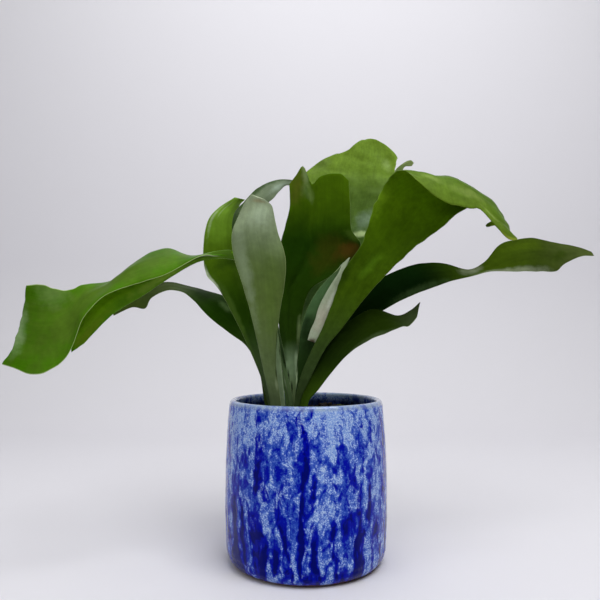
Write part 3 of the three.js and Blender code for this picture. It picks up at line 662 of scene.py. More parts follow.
def strap_mesh(strap, look, seed, thicknesses, columns):
    """The closed skin of a strap: its middle surface moved half a thickness to each side. The
    columns lie closer towards the margins, as a sine does at its top, and the half thickness
    falls to nothing at the margins and at both ends as the edge of a rounded bar, so both faces
    share their outline. Gives vertices, quads, map places and the blade's own values: the place
    across from -1 to 1, the share of the length and 1 on the face that bulges outwards."""
    rows = (len(strap["stations"]) - 1) * ROWS_PER_STATION
    w = np.concatenate([np.linspace(0, 1, rows + 1)[:-1], 1 - TIP_ROWS / rows, [1]])
    angle = np.linspace(-math.pi / 2, math.pi / 2, columns + 1)
    grid_w, grid_u = np.meshgrid(w, np.sin(angle), indexing="ij")
    middle, run_length = strap_middle(strap, look, seed, grid_u, grid_w)
    normals = grid_normals(middle)

    stipe, blade = thicknesses
    thickness = stipe + (blade - stipe) * np.clip(2 * grid_w, 0, 1)
    edge = np.sqrt(1 - np.abs(grid_u) ** 10)
    closing = np.sqrt(np.clip((1 - grid_w) * rows, 0, 1)) * np.where(grid_w <= 0, 0, 1)
    offset = normals * (thickness / 2 * edge * closing)[..., None]

    count = middle.shape[0] * middle.shape[1]
    front = np.arange(count).reshape(middle.shape[:2])
    back = front + count
    back[[0, -1]] = front[[0, -1]]
    back[:, [0, -1]] = front[:, [0, -1]]
    vertices = np.concatenate([(middle + offset).reshape(-1, 3), (middle - offset).reshape(-1, 3)])
    quads = np.concatenate([grid_quads(front), grid_quads(back)[:, ::-1]])
    used, quads = np.unique(quads, return_inverse=True)

    width = np.linalg.norm(middle[:, -1] - middle[:, 0], axis=-1)[:, None]
    places = np.stack([grid_u / 2 * width, run_length], -1).reshape(-1, 2)
    share = np.stack([grid_u, grid_w, 1 + 0 * grid_w], -1).reshape(-1, 3)
    under = share * [1, 1, 0]
    share[(np.abs(grid_u) >= 1).ravel(), 2] = 0.5
    places = np.concatenate([places, places])[used]
    values = np.concatenate([share, under])[used]
    return vertices[used], quads.reshape(-1, 4), places, values


def frond_object(name, settings):
    """One frond: its straps' skins in one mesh. A lobe that is a strap of its own counts its
    share of the length on from 1."""
    parts = []
    total = 0
    for k, strap in enumerate(FRONDS[name]):
        widest = max(math.dist(s[:3], s[3:6]) for s in strap["stations"])
        columns = NARROW_COLUMNS if widest < NARROW else WIDE_COLUMNS
        seed = sum(map(ord, name)) + k
        vertices, quads, places, values = strap_mesh(
            strap, LOOKS[name], seed, (settings.stipe, settings.blade), columns)
        parts.append((vertices, quads + total, places, values + [0, k, 0]))
        total += len(vertices)
    vertices, quads, places, values = (np.concatenate(arrays) for arrays in zip(*parts))
    made = mesh_object(name + "_blade", vertices, quads)
    mesh = made.data
    corner = np.zeros(len(mesh.loops), np.int32)
    mesh.loops.foreach_get("vertex_index", corner)
    layer = mesh.uv_layers.new(name="blade_map")
    layer.data.foreach_set("uv", places[corner].astype(np.float32).ravel())
    attribute = mesh.attributes.new("blade", "FLOAT_VECTOR", "POINT")
    attribute.data.foreach_set("vector", values.astype(np.float32).ravel())
    return made


# ---------------------------------------------------------------- material nodes

def node(tree, kind, inputs=None, **settings):
    """Adds a node, sets its properties, and sets or links each named input."""
    made = tree.nodes.new(kind)
    for key, value in settings.items():
        setattr(made, key, value)
    for key, value in (inputs or {}).items():
        if isinstance(value, bpy.types.NodeSocket):
            tree.links.new(value, made.inputs[key])
        else:
            made.inputs[key].default_value = value
    return made


def maths(tree, operation, first, second=0.0, clamp=False):
    """The result of one sum on two values."""
    inputs = {0: first, 1: second}
    return node(tree, "ShaderNodeMath", inputs, operation=operation, use_clamp=clamp).outputs[0]


def product(tree, *values):
    """The product of the values."""
    result = values[0]
    for value in values[1:]:
        result = maths(tree, "MULTIPLY", result, value)
    return result


def weighted_sum(tree, *terms, start=0.0):
    """The start and the values, each times its weight, added up."""
    total = start
    for value, weight in terms:
        inputs = {0: value, 1: weight, 2: total}
        total = node(tree, "ShaderNodeMath", inputs, operation="MULTIPLY_ADD").outputs[0]
    return total


def vector_maths(tree, operation, first, second=(0, 0, 0)):
    """The result of one sum on two vectors, or the length of the first."""
    made = node(tree, "ShaderNodeVectorMath", {0: first, 1: second}, operation=operation)
    return made.outputs["Value" if operation == "LENGTH" else "Vector"]


def stretch(tree, value, low, high, to_low=0.0, to_high=1.0):
    """The value taken smoothly from one range to another."""
    inputs = {"Value": value, "From Min": low, "From Max": high, "To Min": to_low,
              "To Max": to_high}
    made = node(tree, "ShaderNodeMapRange", inputs, interpolation_type="SMOOTHSTEP")
    return made.outputs["Result"]


def blend(tree, share, first, second, mode="MIX"):
    """Two colours mixed by a share, or put together in another mode."""
    made = node(tree, "ShaderNodeMix", data_type="RGBA", blend_type=mode)
    for place, value in ((0, share), (6, first), (7, second)):
        if isinstance(value, bpy.types.NodeSocket):
            tree.links.new(value, made.inputs[place])
        else:
            made.inputs[place].default_value = value if place == 0 else (*value[:3], 1)
    return made.outputs[2]


def shaded(tree, colour, light):
    """A colour times a value."""
    grey = node(tree, "ShaderNodeCombineColor", {"Red": light, "Green": light, "Blue": light})
    return blend(tree, 1.0, colour, grey.outputs["Color"], "MULTIPLY")


def dimmed(colour, share):
    """A plain colour times a number."""
    return tuple(share * channel for channel in colour)


def scaled(tree, vector, scale):
    """A vector scaled along each axis."""
    inputs = {"Vector": vector, "Scale": scale}
    return node(tree, "ShaderNodeMapping", inputs, vector_type="POINT").outputs["Vector"]


def noise(tree, vector, scale, detail=2.0, roughness=0.5, distortion=0.0):
    """Noise from about 0 to 1."""
    inputs = {"Vector": vector, "Scale": scale, "Detail": detail, "Roughness": roughness,
              "Distortion": distortion}
    return node(tree, "ShaderNodeTexNoise", inputs).outputs["Fac"]


def ramp(tree, value, stops, interpolation="LINEAR"):
    """The colour of a ramp at the value. Its stops are given as (place, colour)."""
    made = node(tree, "ShaderNodeValToRGB", {"Fac": value})
    made.color_ramp.interpolation = interpolation
    elements = made.color_ramp.elements
    while len(elements) < len(stops):
        elements.new(0.5)
    for element, (place, colour) in zip(elements, stops):
        element.position = place
        element.color = (*colour, 1)
    return made.outputs["Color"]


def bumps(tree, height, strength, depth):
    """The normal of a relief."""
    inputs = {"Height": height, "Strength": strength, "Distance": depth}
    return node(tree, "ShaderNodeBump", inputs).outputs["Normal"]


def link_inputs(tree, target, values):
    """Links a value to each named input of a node."""
    for key, value in values.items():
        tree.links.new(value, target.inputs[key])


def shader_group(name, inputs, outputs):
    """A new node group with named sockets, given as name to (kind, default) or kind."""
    tree = bpy.data.node_groups.new(name, "ShaderNodeTree")
    for key, (kind, default) in inputs.items():
        socket = tree.interface.new_socket(key, in_out="INPUT", socket_type=kind)
        if default is not None:
            socket.default_value = default
    for key, kind in outputs.items():
        tree.interface.new_socket(key, in_out="OUTPUT", socket_type=kind)
    return tree, tree.nodes.new("NodeGroupInput").outputs, tree.nodes.new("NodeGroupOutput")


def place_group(tree, group, inputs):
    """A node that uses the group, with its inputs set or linked."""
    made = tree.nodes.new("ShaderNodeGroup")
    made.node_tree = group
    for key, value in inputs.items():
        if isinstance(value, bpy.types.NodeSocket):
            tree.links.new(value, made.inputs[key])
        elif made.inputs[key].type == "RGBA":
            made.inputs[key].default_value = (*value[:3], 1)
        else:
            made.inputs[key].default_value = value
    return made.outputs


def new_material(name, **shader_values):
    """A material with its tree, its shader and the shader's plain values."""
    material = bpy.data.materials.new(name)
    material.use_nodes = True
    tree = material.node_tree
    shader = tree.nodes["Principled BSDF"]
    for key, value in shader_values.items():
        shader.inputs[key.replace("_", " ")].default_value = value
    return material, tree, shader


FLOAT, COLOUR, VECTOR = "NodeSocketFloat", "NodeSocketColor", "NodeSocketVector"
WHITE = (1, 1, 1, 1)
USUAL_NOISE = (0.3, 0.7)  # nearly all of a noise lies in this range


def frond_tissue_group():
    """The colour, roughness and relief of a frond. Its tone varies in soft cloudy patches, in
    small lumps, in fine veins along the blade and in the hairs of the felt, and is pale at the
    margin. The lumps also stand out in the relief, and their lighter and darker tone is partly
    mottling and partly painted light and shade on them. The lumps and the wrinkles are strongest
    where the frond is puckered."""
    tree, given, out = shader_group("Frond tissue", {
        "Tone": (COLOUR, WHITE), "Margin colour": (COLOUR, WHITE), "Across": (FLOAT, 0.0),
        "Rim": (FLOAT, 0.0), "Felt": (FLOAT, 0.0), "Pucker": (FLOAT, 0.0),
        "Map": (VECTOR, None), "Place": (VECTOR, None),
    }, {"Colour": COLOUR, "Roughness": FLOAT, "Height": FLOAT})

    place, pucker, felt = given["Place"], given["Pucker"], given["Felt"]
    clouds = noise(tree, place, 38.0, 3.0)
    lumps = noise(tree, place, 260.0, 3.0, 0.6)
    veins = noise(tree, scaled(tree, given["Map"], (560, 20, 1)), 1.0, 2.0)
    hairs = noise(tree, place, 2600.0, 2.0, 0.6)
    lump_depth = weighted_sum(tree, (pucker, 0.6), start=0.35)
    # Partly mottling and partly painted light and shade on the lumps, stronger where puckered.
    lump_mottle_and_shade = weighted_sum(tree, (maths(tree, "SUBTRACT", lumps, 0.5), lump_depth), start=1.0)
    hair_depth = product(tree, maths(tree, "SUBTRACT", hairs, 0.5), felt)
    light = product(tree, stretch(tree, clouds, *USUAL_NOISE, 0.86, 1.14), lump_mottle_and_shade,
                    stretch(tree, veins, *USUAL_NOISE, 0.95, 1.05),
                    weighted_sum(tree, (hair_depth, 0.6), start=1.0))
    tissue = shaded(tree, given["Tone"], light)
    rim = stretch(tree, maths(tree, "ABSOLUTE", given["Across"]), 0.975, 0.997)
    colour = blend(tree, product(tree, rim, given["Rim"]), tissue, given["Margin colour"])

    glossy = stretch(tree, clouds, *USUAL_NOISE, 0.36, 0.46)
    rough = maths(tree, "ADD", glossy, product(tree, felt, 0.45), clamp=True)
    wrinkles = noise(tree, scaled(tree, given["Map"], (160, 60, 1)), 1.0, 3.0, 0.6, 0.8)
    relief = weighted_sum(tree, (wrinkles, pucker), (veins, 0.18), (lumps, 0.3), (hair_depth, 0.08))
    link_inputs(tree, out, {"Colour": colour, "Roughness": rough, "Height": relief})
    return tree


def soft_mark_group():
    """A soft patch of another colour on a blade: full at its centre and faded out at its edge,
    which cloudy noise makes ragged."""
    tree, given, out = shader_group("Soft mark", {
        "Colour": (COLOUR, WHITE), "Mark colour": (COLOUR, WHITE), "Strength": (FLOAT, 1.0),
        "Blade": (VECTOR, None), "Shift": (VECTOR, None), "Stretch": (VECTOR, None),
        "Cloud": (FLOAT, 0.5),
    }, {"Colour": COLOUR})
    moved = vector_maths(tree, "SUBTRACT", given["Blade"], given["Shift"])
    moved = vector_maths(tree, "MULTIPLY", moved, given["Stretch"])
    away = vector_maths(tree, "LENGTH", moved)
    ragged = stretch(tree, given["Cloud"], *USUAL_NOISE, -0.16, 0.16)
    there = stretch(tree, maths(tree, "ADD", away, ragged), 0.1, 1.0, 1.0, 0.0)
    share = product(tree, there, given["Strength"])
    marked = blend(tree, share, given["Colour"], given["Mark colour"])
    link_inputs(tree, out, {"Colour": marked})
    return tree


def frond_material(name, group, mark_group, settings):
    """The finish of one frond: its tones along the blade with painted side light across it, its
    marks, some of which are painted highlights and painted shade, and the shared tissue group over
    them. Its sheen has the hue of its third tone."""
    look = LOOKS[name]
    tones = [(place, srgb(*tone)) for place, tone in look["tones"]]
    hue = tones[2][1]
    material, tree, shader = new_material(name.replace("_", " "),
                                          Specular_Tint=(*dimmed(hue, 1 / max(hue)), 1),
                                          Specular_IOR_Level=look["gloss"])
    place = node(tree, "ShaderNodeTexCoord").outputs["Object"]
    blade_map = node(tree, "ShaderNodeUVMap", uv_map="blade_map").outputs["UV"]
    blade = node(tree, "ShaderNodeAttribute", attribute_name="blade").outputs["Vector"]
    parts = node(tree, "ShaderNodeSeparateXYZ", {"Vector": blade}).outputs
    across, along, face = parts["X"], parts["Y"], parts["Z"]
    if look["felted"] < 0:
        face = maths(tree, "SUBTRACT", 1.0, face)
    felt = product(tree, face, stretch(tree, along, *look["bare"], 0.0, look["felt"]))

    tone = ramp(tree, along, tones, "EASE")
    # Painted side light: the tone grows lighter or darker across the blade by `lean`.
    tone = shaded(tree, tone, weighted_sum(tree, (across, look["lean"]), start=1.0))
    cloud = noise(tree, place, 120.0, 3.0, 0.6)
    cover = product(tree, felt, stretch(tree, cloud, 0.3, 0.6, 0.85, 1.0))
    tone = blend(tree, cover, tone, settings.felt)
    flat = scaled(tree, blade, (1, 1, 0))
    for mark_across, mark_along, half_width, half_length, colour, strength in look["marks"]:
        tone = place_group(tree, mark_group, {
            "Colour": tone, "Mark colour": srgb(*colour), "Strength": strength, "Blade": flat,
            "Shift": (mark_across, mark_along, 0),
            "Stretch": (1 / half_width, 1 / half_length, 0), "Cloud": cloud})["Colour"]
    result = place_group(tree, group, {
        "Tone": tone, "Margin colour": settings.margin, "Across": across, "Rim": look["rim"],
        "Felt": felt, "Pucker": look["pucker"], "Map": blade_map, "Place": place})
    link_inputs(tree, shader, {
        "Base Color": result["Colour"], "Roughness": result["Roughness"],
        "Normal": bumps(tree, result["Height"], 0.35, 0.5 * MM)})
    return material


# ---------------------------------------------------------------- the pot

POT_COLUMNS = 288
# How many points the pot's section has on the parts that the glaze runs down.
FLAT_POINTS, FOOT_POINTS, WALL_POINTS, OUTER_LIP_POINTS = 8, 11, 88, 5
OUTSIDE_POINTS = FLAT_POINTS + FOOT_POINTS + WALL_POINTS + OUTER_LIP_POINTS
FOOT_FADE, LIP_FADE = 8 * MM, 5 * MM  # heights over which the runs fade out


def between(start, stop, points):
    """Evenly spaced values between two, without the two themselves."""
    return np.linspace(start, stop, points + 2)[1:-1]


def arc(centre_radius, centre_height, radius, from_degrees, to_degrees, points):
    """Profile points (radius, height) on a circle, from one angle to another."""
    angle = np.radians(np.linspace(from_degrees, to_degrees, points))
    return np.stack([centre_radius + radius * np.cos(angle),
                     centre_height + radius * np.sin(angle)], -1)


def pot_profile(pot):
    """The wall's section from the middle of the foot, up the outside, over the lip and down the
    inside to the middle of the floor. The outside is barrel shaped: it draws in by the square
    of the distance from half height."""
    lip, well = 2.4 * MM, 6 * MM
    belly_drop = 2 * MM
    foot = pot.radius - belly_drop - pot.foot_radius
    top = pot.height - lip
    middle = pot.height / 2
    height = between(foot, top, WALL_POINTS)
    away = (height - middle) / middle
    drop = np.where(height < middle, belly_drop, pot.radius - pot.lip_radius)
    wall = np.stack([pot.radius - drop * away ** 2, height], -1)
    flat = between(0, pot.foot_radius, FLAT_POINTS)
    inside = between(top, pot.floor + well, 28)
    floor = between(pot.well_radius - well, 0, 6)
    return np.concatenate([
        np.stack([flat, 0 * flat], -1),
        arc(pot.foot_radius, foot, foot, -90, 0, FOOT_POINTS),
        wall,
        arc(pot.lip_radius - lip, top, lip, 0, 90, 9),
        arc(pot.well_radius + lip, top, lip, 90, 180, 9),
        np.stack([0 * inside + pot.well_radius, inside], -1),
        arc(pot.well_radius - well, pot.floor + well, well, 0, -90, 5),
        np.stack([floor, 0 * floor + pot.floor], -1),
    ])


def pot_object(pot):
    """The pot: its section turned about the axis. The outside moves out and in by the runs of
    glaze, random waves that are long down the wall and short round it, and by slight throwing
    rings, which are the product of two sines of the height. All fade out at the foot, on the
    lip and inside."""
    profile = pot_profile(pot)
    angle = np.linspace(0, 2 * math.pi, POT_COLUMNS, endpoint=False)
    radius, turn = np.meshgrid(profile[:, 0], angle, indexing="ij")
    height = np.repeat(profile[:, 1:], POT_COLUMNS, axis=1)
    place = np.stack([radius * np.cos(turn), radius * np.sin(turn), height], -1)
    outside = (np.arange(len(profile)) < OUTSIDE_POINTS)[:, None]
    share = outside * np.clip(height / FOOT_FADE, 0, 1)
    share = share * np.clip((pot.height - height) / LIP_FADE, 0, 1)
    long_waves = smooth_noise(3, place * [1, 1, 0.25], 5 * MM, 2)
    blobs = smooth_noise(5, place * [1, 1, 0.6], 3 * MM, 2)
    rings = 0.3 * np.sin(height / (3.3 * MM)) * np.sin(height / (1.9 * MM) + turn)
    out = pot.run_depth * share * (0.75 * long_waves + 0.35 * blobs + rings)
    place[..., 0] += out * np.cos(turn)
    place[..., 1] += out * np.sin(turn)
    made = turned_object("glazed_pot", place, [0, 0, 0], [0, 0, pot.floor])
    for k in range(DRAIN_HOLES):
        turn = 2 * math.pi * k / DRAIN_HOLES + math.pi / 2
        drill_hole(made, DRAIN_RING * math.cos(turn), DRAIN_RING * math.sin(turn), DRAIN_RADIUS)
    return made


def drill_hole(piece, x, y, radius):
    """Cuts a round upright hole through the floor of a piece. The drill stands half above and
    half below the foot, and is longer than the floor is thick."""
    shape = bmesh.new()
    bmesh.ops.create_cone(shape, cap_ends=True, segments=48, radius1=radius, radius2=radius,
                          depth=30 * MM)
    bmesh.ops.translate(shape, vec=(x, y, 0), verts=shape.verts)
    mesh = bpy.data.meshes.new("drill")
    shape.to_mesh(mesh)
    shape.free()
    drill = bpy.data.objects.new("drill", mesh)
    bpy.context.scene.collection.objects.link(drill)
    cut = piece.modifiers.new("hole", "BOOLEAN")
    cut.operation, cut.object, cut.solver = "DIFFERENCE", drill, "EXACT"
    apply_modifiers(piece)
    bpy.data.objects.remove(drill)


def apply_modifiers(piece):
    """Turns a piece's modifiers into its mesh."""
    bpy.context.view_layer.update()
    graph = bpy.context.evaluated_depsgraph_get()
    done = bpy.data.meshes.new_from_object(piece.evaluated_get(graph))
    piece.modifiers.clear()
    old, piece.data = piece.data, done
    done.name = piece.name
    bpy.data.meshes.remove(old)


def glaze_material(pot):
    """The streaky glaze. A mottled middle blue, with paler clouds that thicken towards the lip
    and fine pale specks, is crossed by deep blue streaks that are long down the wall. They
    start below the lip and hold darker pools. Inside it is painted dark for the shade in the
    well, and the foot is bare clay."""
    material, tree, shader = new_material("streaky blue glaze", Specular_Tint=(0.02, 0.15, 1, 1),
                                          Specular_IOR_Level=0.22, Coat_Roughness=0.05)
    place = node(tree, "ShaderNodeTexCoord").outputs["Object"]
    parts = node(tree, "ShaderNodeSeparateXYZ", {"Vector": place}).outputs
    height = parts["Z"]
    runs = noise(tree, scaled(tree, place, (90, 90, 16)), 1.0, 2.0, 0.5, 0.6)
    blobs = noise(tree, scaled(tree, place, (150, 150, 78)), 1.0, 2.0, 0.6, 0.8)
    mottle = noise(tree, scaled(tree, place, (330, 330, 240)), 1.0, 3.0, 0.65)
    specks = noise(tree, place, 1200.0, 1.0)
    rise = maths(tree, "POWER", stretch(tree, height, 0.0, pot.height), 6.0)

    paleness = weighted_sum(tree, (blobs, 0.75), (mottle, 0.45), (runs, 0.3), (specks, 0.22),
                            start=stretch(tree, rise, 0.0, 1.0, -0.425, -0.31))
    base = ramp(tree, paleness, (
        (0.34, pot.deep), (0.42, pot.middle), (0.52, pot.light), (0.6, pot.pale)))
    frosted = product(tree, stretch(tree, paleness, 0.46, 0.58), stretch(tree, specks, 0.5, 0.6),
                      0.8)
    base = blend(tree, frosted, base, pot.frost)

    bend = noise(tree, scaled(tree, place, (40, 40, 25)), 1.0, 2.0)
    turn = maths(tree, "ARCTAN2", parts["Y"], parts["X"])
    comb = maths(tree, "SINE", weighted_sum(tree, (turn, pot.streaks), (bend, 22.0)))
    thinness = weighted_sum(tree, (runs, 0.8), (blobs, 0.5), (comb, 0.1), (mottle, 0.25),
                            (rise, 0.1), start=stretch(tree, height, 0.0, pot.height, -0.08, 0.05))
    glaze = blend(tree, stretch(tree, thinness, 0.67, 0.79, 1.0, 0.0), base, pot.deep)
    glaze = blend(tree, stretch(tree, thinness, 0.58, 0.67, 1.0, 0.0), glaze, pot.pool)
    lip_top = pot.height - 1.5 * MM
    lip = stretch(tree, height, lip_top - 3 * MM, lip_top)
    worn = product(tree, lip, stretch(tree, blobs, 0.35, 0.6, 0.35, 0.85))
    glaze = blend(tree, worn, glaze, pot.lip)

    radius = vector_maths(tree, "LENGTH", scaled(tree, place, (1, 1, 0)))
    wall = pot.well_radius + 0.5 * MM
    inner = product(tree, stretch(tree, radius, wall - 0.7 * MM, wall + 0.7 * MM, 1.0, 0.0),
                    stretch(tree, height, lip_top - 6.5 * MM, lip_top, 1.0, 0.0))
    # Painted shade inside the well above the mix: near black-blue, mottled by the blobs.
    painted_well_shade = blend(tree, stretch(tree, blobs, 0.4, 0.65), pot.inside, dimmed(pot.middle, 0.35))
    colour = blend(tree, inner, glaze, painted_well_shade)
    foot_edge = weighted_sum(tree, (runs, 1.6 * MM), start=height)
    bare = stretch(tree, foot_edge, 2.4 * MM, 3.4 * MM, 1.0, 0.0)
    clay = blend(tree, noise(tree, place, 1400.0, 2.0), dimmed(pot.clay, 0.55), pot.clay)
    colour = blend(tree, bare, colour, clay)

    rough = maths(tree, "ADD", stretch(tree, mottle, *USUAL_NOISE, 0.1, 0.2),
                  product(tree, bare, 0.6), clamp=True)
    ripple = noise(tree, scaled(tree, place, (230, 230, 110)), 1.0, 2.0)
    relief = weighted_sum(tree, (ripple, 0.8), (paleness, 0.5))
    normal = bumps(tree, relief, 0.5, 0.8 * MM)
    link_inputs(tree, shader, {
        "Base Color": colour, "Roughness": rough, "Normal": normal, "Coat Normal": normal,
        "Coat Weight": weighted_sum(tree, (lip, 0.9), start=0.03)})
    return material


# ---------------------------------------------------------------- the potting mix

MIX_RINGS, MIX_COLUMNS = 60, 180
MOSS_TUFTS = 420
MIX_SKIRT = 30 * MM  # how far the mix reaches down
CHIP_FACES = ((0, 3, 2, 1), (4, 5, 6, 7), (0, 1, 5, 4), (1, 2, 6, 5), (2, 3, 7, 6), (3, 0, 4, 7))
CHIP_GAP = 4 * MM  # kept free along the wall
CHIP_CORNERS = np.array([[-1, -1, -1], [1, -1, -1], [1, 1, -1], [-1, 1, -1],
                         [-1, -1, 1], [1, -1, 1], [1, 1, 1], [-1, 1, 1]], float)


def turns_about(axis, angles):
    """Turning matrices about X (0), Y (1) or Z (2)."""
    i, j = (axis + 1) % 3, (axis + 2) % 3
    made = np.zeros((len(angles), 3, 3))
    made[:, axis, axis] = 1
    made[:, i, i] = made[:, j, j] = np.cos(angles)
    made[:, j, i] = np.sin(angles)
    made[:, i, j] = -made[:, j, i]
    return made


def random_turns(rng, count, tilt):
    """Turning matrices: any turn about Z after a random tilt of about the given size."""
    spin = rng.uniform(0, 2 * math.pi, count)
    lean = rng.normal(0, tilt, (2, count))
    return turns_about(2, spin) @ turns_about(0, lean[0]) @ turns_about(1, lean[1])


def mix_top(x, y, radius, level):
    """Height of the mix: level, with lumps that fade towards the wall, and a mound of moss."""
    x_mm, y_mm = x / MM, y / MM
    inward = 1 - (np.hypot(x, y) / radius) ** 4
    lumps = 1.2 * np.sin(x_mm * 0.31 + 1.7) * np.cos(y_mm * 0.27 - 0.6)
    away = np.hypot(x_mm - MOUND[0], y_mm - MOUND[1]) / MOUND_WIDTH
    return level + (inward * lumps + MOUND_HEIGHT * np.exp(-away ** 2)) * MM


def mix_object(mix, radius):
    """The mix: a closed round body whose top is mix_top on rings, with fine crumbs."""
    ring = radius * np.sqrt(np.linspace(0, 1, MIX_RINGS + 1)[1:])
    angle = np.linspace(0, 2 * math.pi, MIX_COLUMNS, endpoint=False)
    r, a = np.meshgrid(ring, angle, indexing="ij")
    x, y = r * np.cos(a), r * np.sin(a)
    place = np.stack([x, y, mix_top(x, y, radius, mix.level)], -1)
    place[..., 2] += smooth_noise(11, place, 1.2 * MM, 3) * 0.5 * MM
    sunk = place[-1] - [0, 0, MIX_SKIRT]
    bottom = [0, 0, sunk[0, 2]]
    top = [0, 0, mix_top(0.0, 0.0, radius, mix.level)]
    rings = np.concatenate([place, sunk[None]])[::-1]
    return turned_object("bark_mix", rings, bottom, top, smooth=False)


def scatter(rng, count, radius, centre=(0, 0)):
    """Random places spread evenly over a disc."""
    angle = rng.uniform(0, 2 * math.pi, count)
    out = radius * np.sqrt(rng.uniform(0, 1, count))
    return centre[0] + out * np.cos(angle), centre[1] + out * np.sin(angle)


def chips_object(name, mix, radius, seed, count, sizes, tilt, spread, centre=(0, 0), rise=0.0):
    """Chips strewn on the mix, within a spread of a centre: boxes with randomly moved corners,
    turned at random."""
    rng = np.random.default_rng(seed)
    x, y = scatter(rng, count, spread, centre)
    inside = np.hypot(x, y) < radius - CHIP_GAP
    x, y = x[inside], y[inside]
    count = len(x)
    half = rng.uniform(sizes[0], sizes[1], (count, 1, 3)) / 2
    corners = CHIP_CORNERS * (1 + rng.uniform(-0.3, 0.3, (count, 8, 3))) * half
    turned = corners @ random_turns(rng, count, tilt).transpose(0, 2, 1)
    z = mix_top(x, y, radius, mix.level) + rise
    place = turned + np.stack([x, y, z], -1)[:, None]
    faces = np.array(CHIP_FACES)[None] + 8 * np.arange(count)[:, None, None]
    made = mesh_object(name, place.reshape(-1, 3), faces.reshape(-1, 4), smooth=False)
    bevel = made.modifiers.new("worn edges", "BEVEL")
    bevel.width, bevel.segments = 0.35 * MM, 1
    apply_modifiers(made)
    return made


def ground_group():
    """The grain of bark and moss: light and dark by cloudy noise and by fine grit."""
    tree, given, out = shader_group("Crumbly grain", {
        "Dark": (COLOUR, WHITE), "Light": (COLOUR, WHITE), "Scale": (FLOAT, 300.0),
        "Place": (VECTOR, None),
    }, {"Colour": COLOUR, "Height": FLOAT})
    coarse = noise(tree, given["Place"], given["Scale"], 4.0, 0.65)
    fine = noise(tree, given["Place"], 2400.0, 2.0)
    colour = blend(tree, stretch(tree, coarse, 0.35, 0.7), given["Dark"], given["Light"])
    height = weighted_sum(tree, (fine, 0.4), start=coarse)
    link_inputs(tree, out, {"Colour": colour, "Height": height})
    return tree


def ground_material(name, group, dark, light, scale):
    """A matte crumbly finish in two colours."""
    material, tree, shader = new_material(name, Roughness=0.9, Specular_IOR_Level=0.25)
    place = node(tree, "ShaderNodeTexCoord").outputs["Object"]
    result = place_group(tree, group, {
        "Dark": dark, "Light": light, "Scale": scale, "Place": place})
    link_inputs(tree, shader, {
        "Base Color": result["Colour"],
        "Normal": bumps(tree, result["Height"], 0.8, 0.6 * MM)})
    return material


# ---------------------------------------------------------------- operators

class FERN_OT_pot(bpy.types.Operator):
    """Make the glazed pot"""
    bl_idname = "fern.pot"
    bl_label = "Glazed pot"

    def execute(self, context):
        settings = context.scene.fern_pot
        piece = pot_object(settings)
        piece.data.materials.append(glaze_material(settings))
        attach(piece, "root")
        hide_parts("pot")
        return {"FINISHED"}


class FERN_OT_mix(bpy.types.Operator):
    """Make the potting mix with its bark chips and moss"""
    bl_idname = "fern.mix"
    bl_label = "Potting mix"

    def execute(self, context):
        mix = context.scene.fern_mix
        radius = context.scene.fern_pot.well_radius - 0.3 * MM
        group = ground_group()
        bark, dark, moss = mix.bark, mix.bark_dark, mix.moss
        body = mix_object(mix, radius)
        body.data.materials.append(
            ground_material("crumbled bark", group, dark, dimmed(bark, 0.6), 260.0))
        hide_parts("potting_mix")
        chips = chips_object("bark_chips", mix, radius, seed=21, count=mix.chips,
                             sizes=(3 * MM, 11 * MM), tilt=0.5, spread=radius)
        chips.data.materials.append(ground_material("bark chips", group, dark, bark, 420.0))
        tufts = chips_object("moss_tufts", mix, radius, seed=22, count=MOSS_TUFTS,
                             sizes=(0.8 * MM, 2.6 * MM), tilt=1.2, spread=15 * MM,
                             centre=dimmed(MOUND, MM), rise=0.4 * MM)
        tufts.data.materials.append(
            ground_material("moss", group, dimmed(moss, 0.35), moss, 900.0))
        for piece in (body, chips, tufts):
            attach(piece, "root")
        return {"FINISHED"}


class FERN_OT_fronds(bpy.types.Operator):
    """Make every frond"""
    bl_idname = "fern.fronds"
    bl_label = "Fronds"

    def execute(self, context):
        settings = context.scene.fern_fronds
        group, mark_group = frond_tissue_group(), soft_mark_group()
        for name in FRONDS:
            piece = frond_object(name, settings)
            piece.data.materials.append(frond_material(name, group, mark_group, settings))
            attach(piece, "root")
            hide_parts(name)
        return {"FINISHED"}


def area_light(name, place, target, size, power):
    """A soft square light that faces a target."""
    data = bpy.data.lights.new(name, "AREA")
    data.energy, data.size, data.shape = power, size, "SQUARE"
    made = bpy.data.objects.new(name, data)
    bpy.context.scene.collection.objects.link(made)
    made.location = place
    made.rotation_euler = (Vector(place) - Vector(target)).to_track_quat("Z", "Y").to_euler()


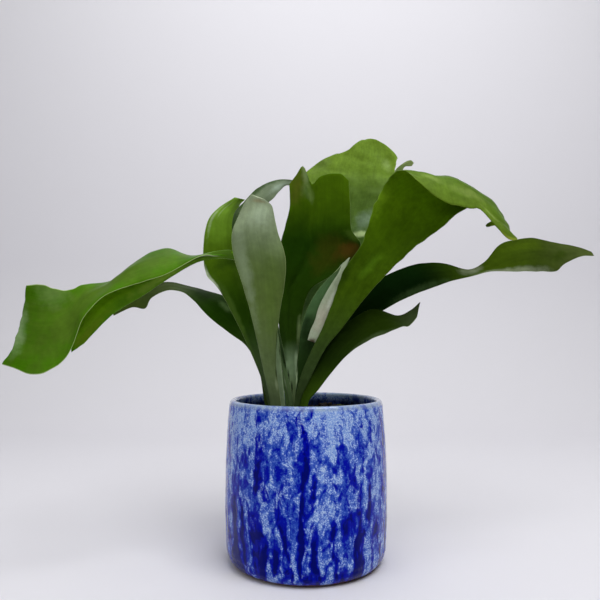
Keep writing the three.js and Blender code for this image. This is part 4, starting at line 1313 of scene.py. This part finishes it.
class FERN_OT_stage(bpy.types.Operator):
    """Make the floor with its sweep, the lights and the camera"""
    bl_idname = "fern.stage"
    bl_label = "Stage"

    def execute(self, context):
        stage = context.scene.fern_stage
        # The floor's section runs level, bends up behind the pot and ends upright.
        bend, back, half, tall = 0.35, 0.55, 2.2, 2.4
        angle = np.radians(np.linspace(-90, 0, 24))
        section = np.concatenate([
            [[-half, 0]],
            np.stack([back + bend * np.cos(angle), bend + bend * np.sin(angle)], -1),
            [[back + bend, tall]],
        ])
        x, row = np.meshgrid([-half, half], np.arange(len(section)), indexing="ij")
        place = np.stack([x, section[row, 0], section[row, 1]], -1)
        index = np.arange(place.shape[0] * place.shape[1]).reshape(place.shape[:2])
        floor = mesh_object("floor", place.reshape(-1, 3), grid_quads(index)[:, ::-1])
        material, _, _ = new_material("pale floor", Roughness=0.8, Specular_IOR_Level=0.2,
                                      Base_Color=(*stage.ground, 1))
        floor.data.materials.append(material)

        area_light("key light", (0.45, -0.65, 1.5), (0, 0, 0.18), 1.0, stage.key_power)
        area_light("fill light", (-0.8, -1.0, 1.1), (0, 0, 0.16), 1.2, stage.fill_power)
        area_light("wall light", (0, 0.15, 1.6), (0, 0.9, 0.5), 1.2, stage.wall_power)
        world = bpy.data.worlds.new("even light")
        world.use_nodes = True
        background = world.node_tree.nodes["Background"]
        background.inputs["Color"].default_value = WHITE
        background.inputs["Strength"].default_value = stage.ambient
        context.scene.world = world
        context.scene.view_settings.view_transform = "Standard"

        camera = bpy.data.cameras.new("camera")
        camera.sensor_width, camera.lens = 36, LENS
        eye = bpy.data.objects.new("camera", camera)
        context.scene.collection.objects.link(eye)
        eye.location = Vector(EYE) * MM
        eye.rotation_euler = (math.radians(90 + EYE_TILT), 0, 0)
        context.scene.camera = eye
        return {"FINISHED"}


class FERN_PT_panel(bpy.types.Panel):
    """The fern's settings and pieces in the sidebar"""
    bl_idname = "FERN_PT_panel"
    bl_label = "Potted staghorn fern"
    bl_space_type = "VIEW_3D"
    bl_region_type = "UI"
    bl_category = "Fern"

    def draw(self, context):
        for settings in SETTINGS:
            box = self.layout.box()
            box.operator(settings.replace("_", "."))
            group = getattr(context.scene, settings)
            for key in group.__annotations__:
                box.prop(group, key)


# Each group of settings is named like the operator that uses it.
SETTINGS = {"fern_pot": PotSettings, "fern_mix": MixSettings, "fern_fronds": FrondSettings,
            "fern_stage": StageSettings}
CLASSES = (*SETTINGS.values(), FERN_OT_pot, FERN_OT_mix, FERN_OT_fronds, FERN_OT_stage,
           FERN_PT_panel)


def register():
    """Adds the classes and the scene's settings."""
    for cls in CLASSES:
        bpy.utils.register_class(cls)
    for key, cls in SETTINGS.items():
        setattr(bpy.types.Scene, key, bpy.props.PointerProperty(type=cls))


def unregister():
    """Takes the settings and the classes away again."""
    for key in SETTINGS:
        delattr(bpy.types.Scene, key)
    for cls in reversed(CLASSES):
        bpy.utils.unregister_class(cls)


def main():
    """Makes every piece and the stage."""
    register()
    bpy.ops.fern.pot()
    bpy.ops.fern.mix()
    bpy.ops.fern.fronds()
    bpy.ops.fern.stage()


if __name__ == "__main__":
    main()
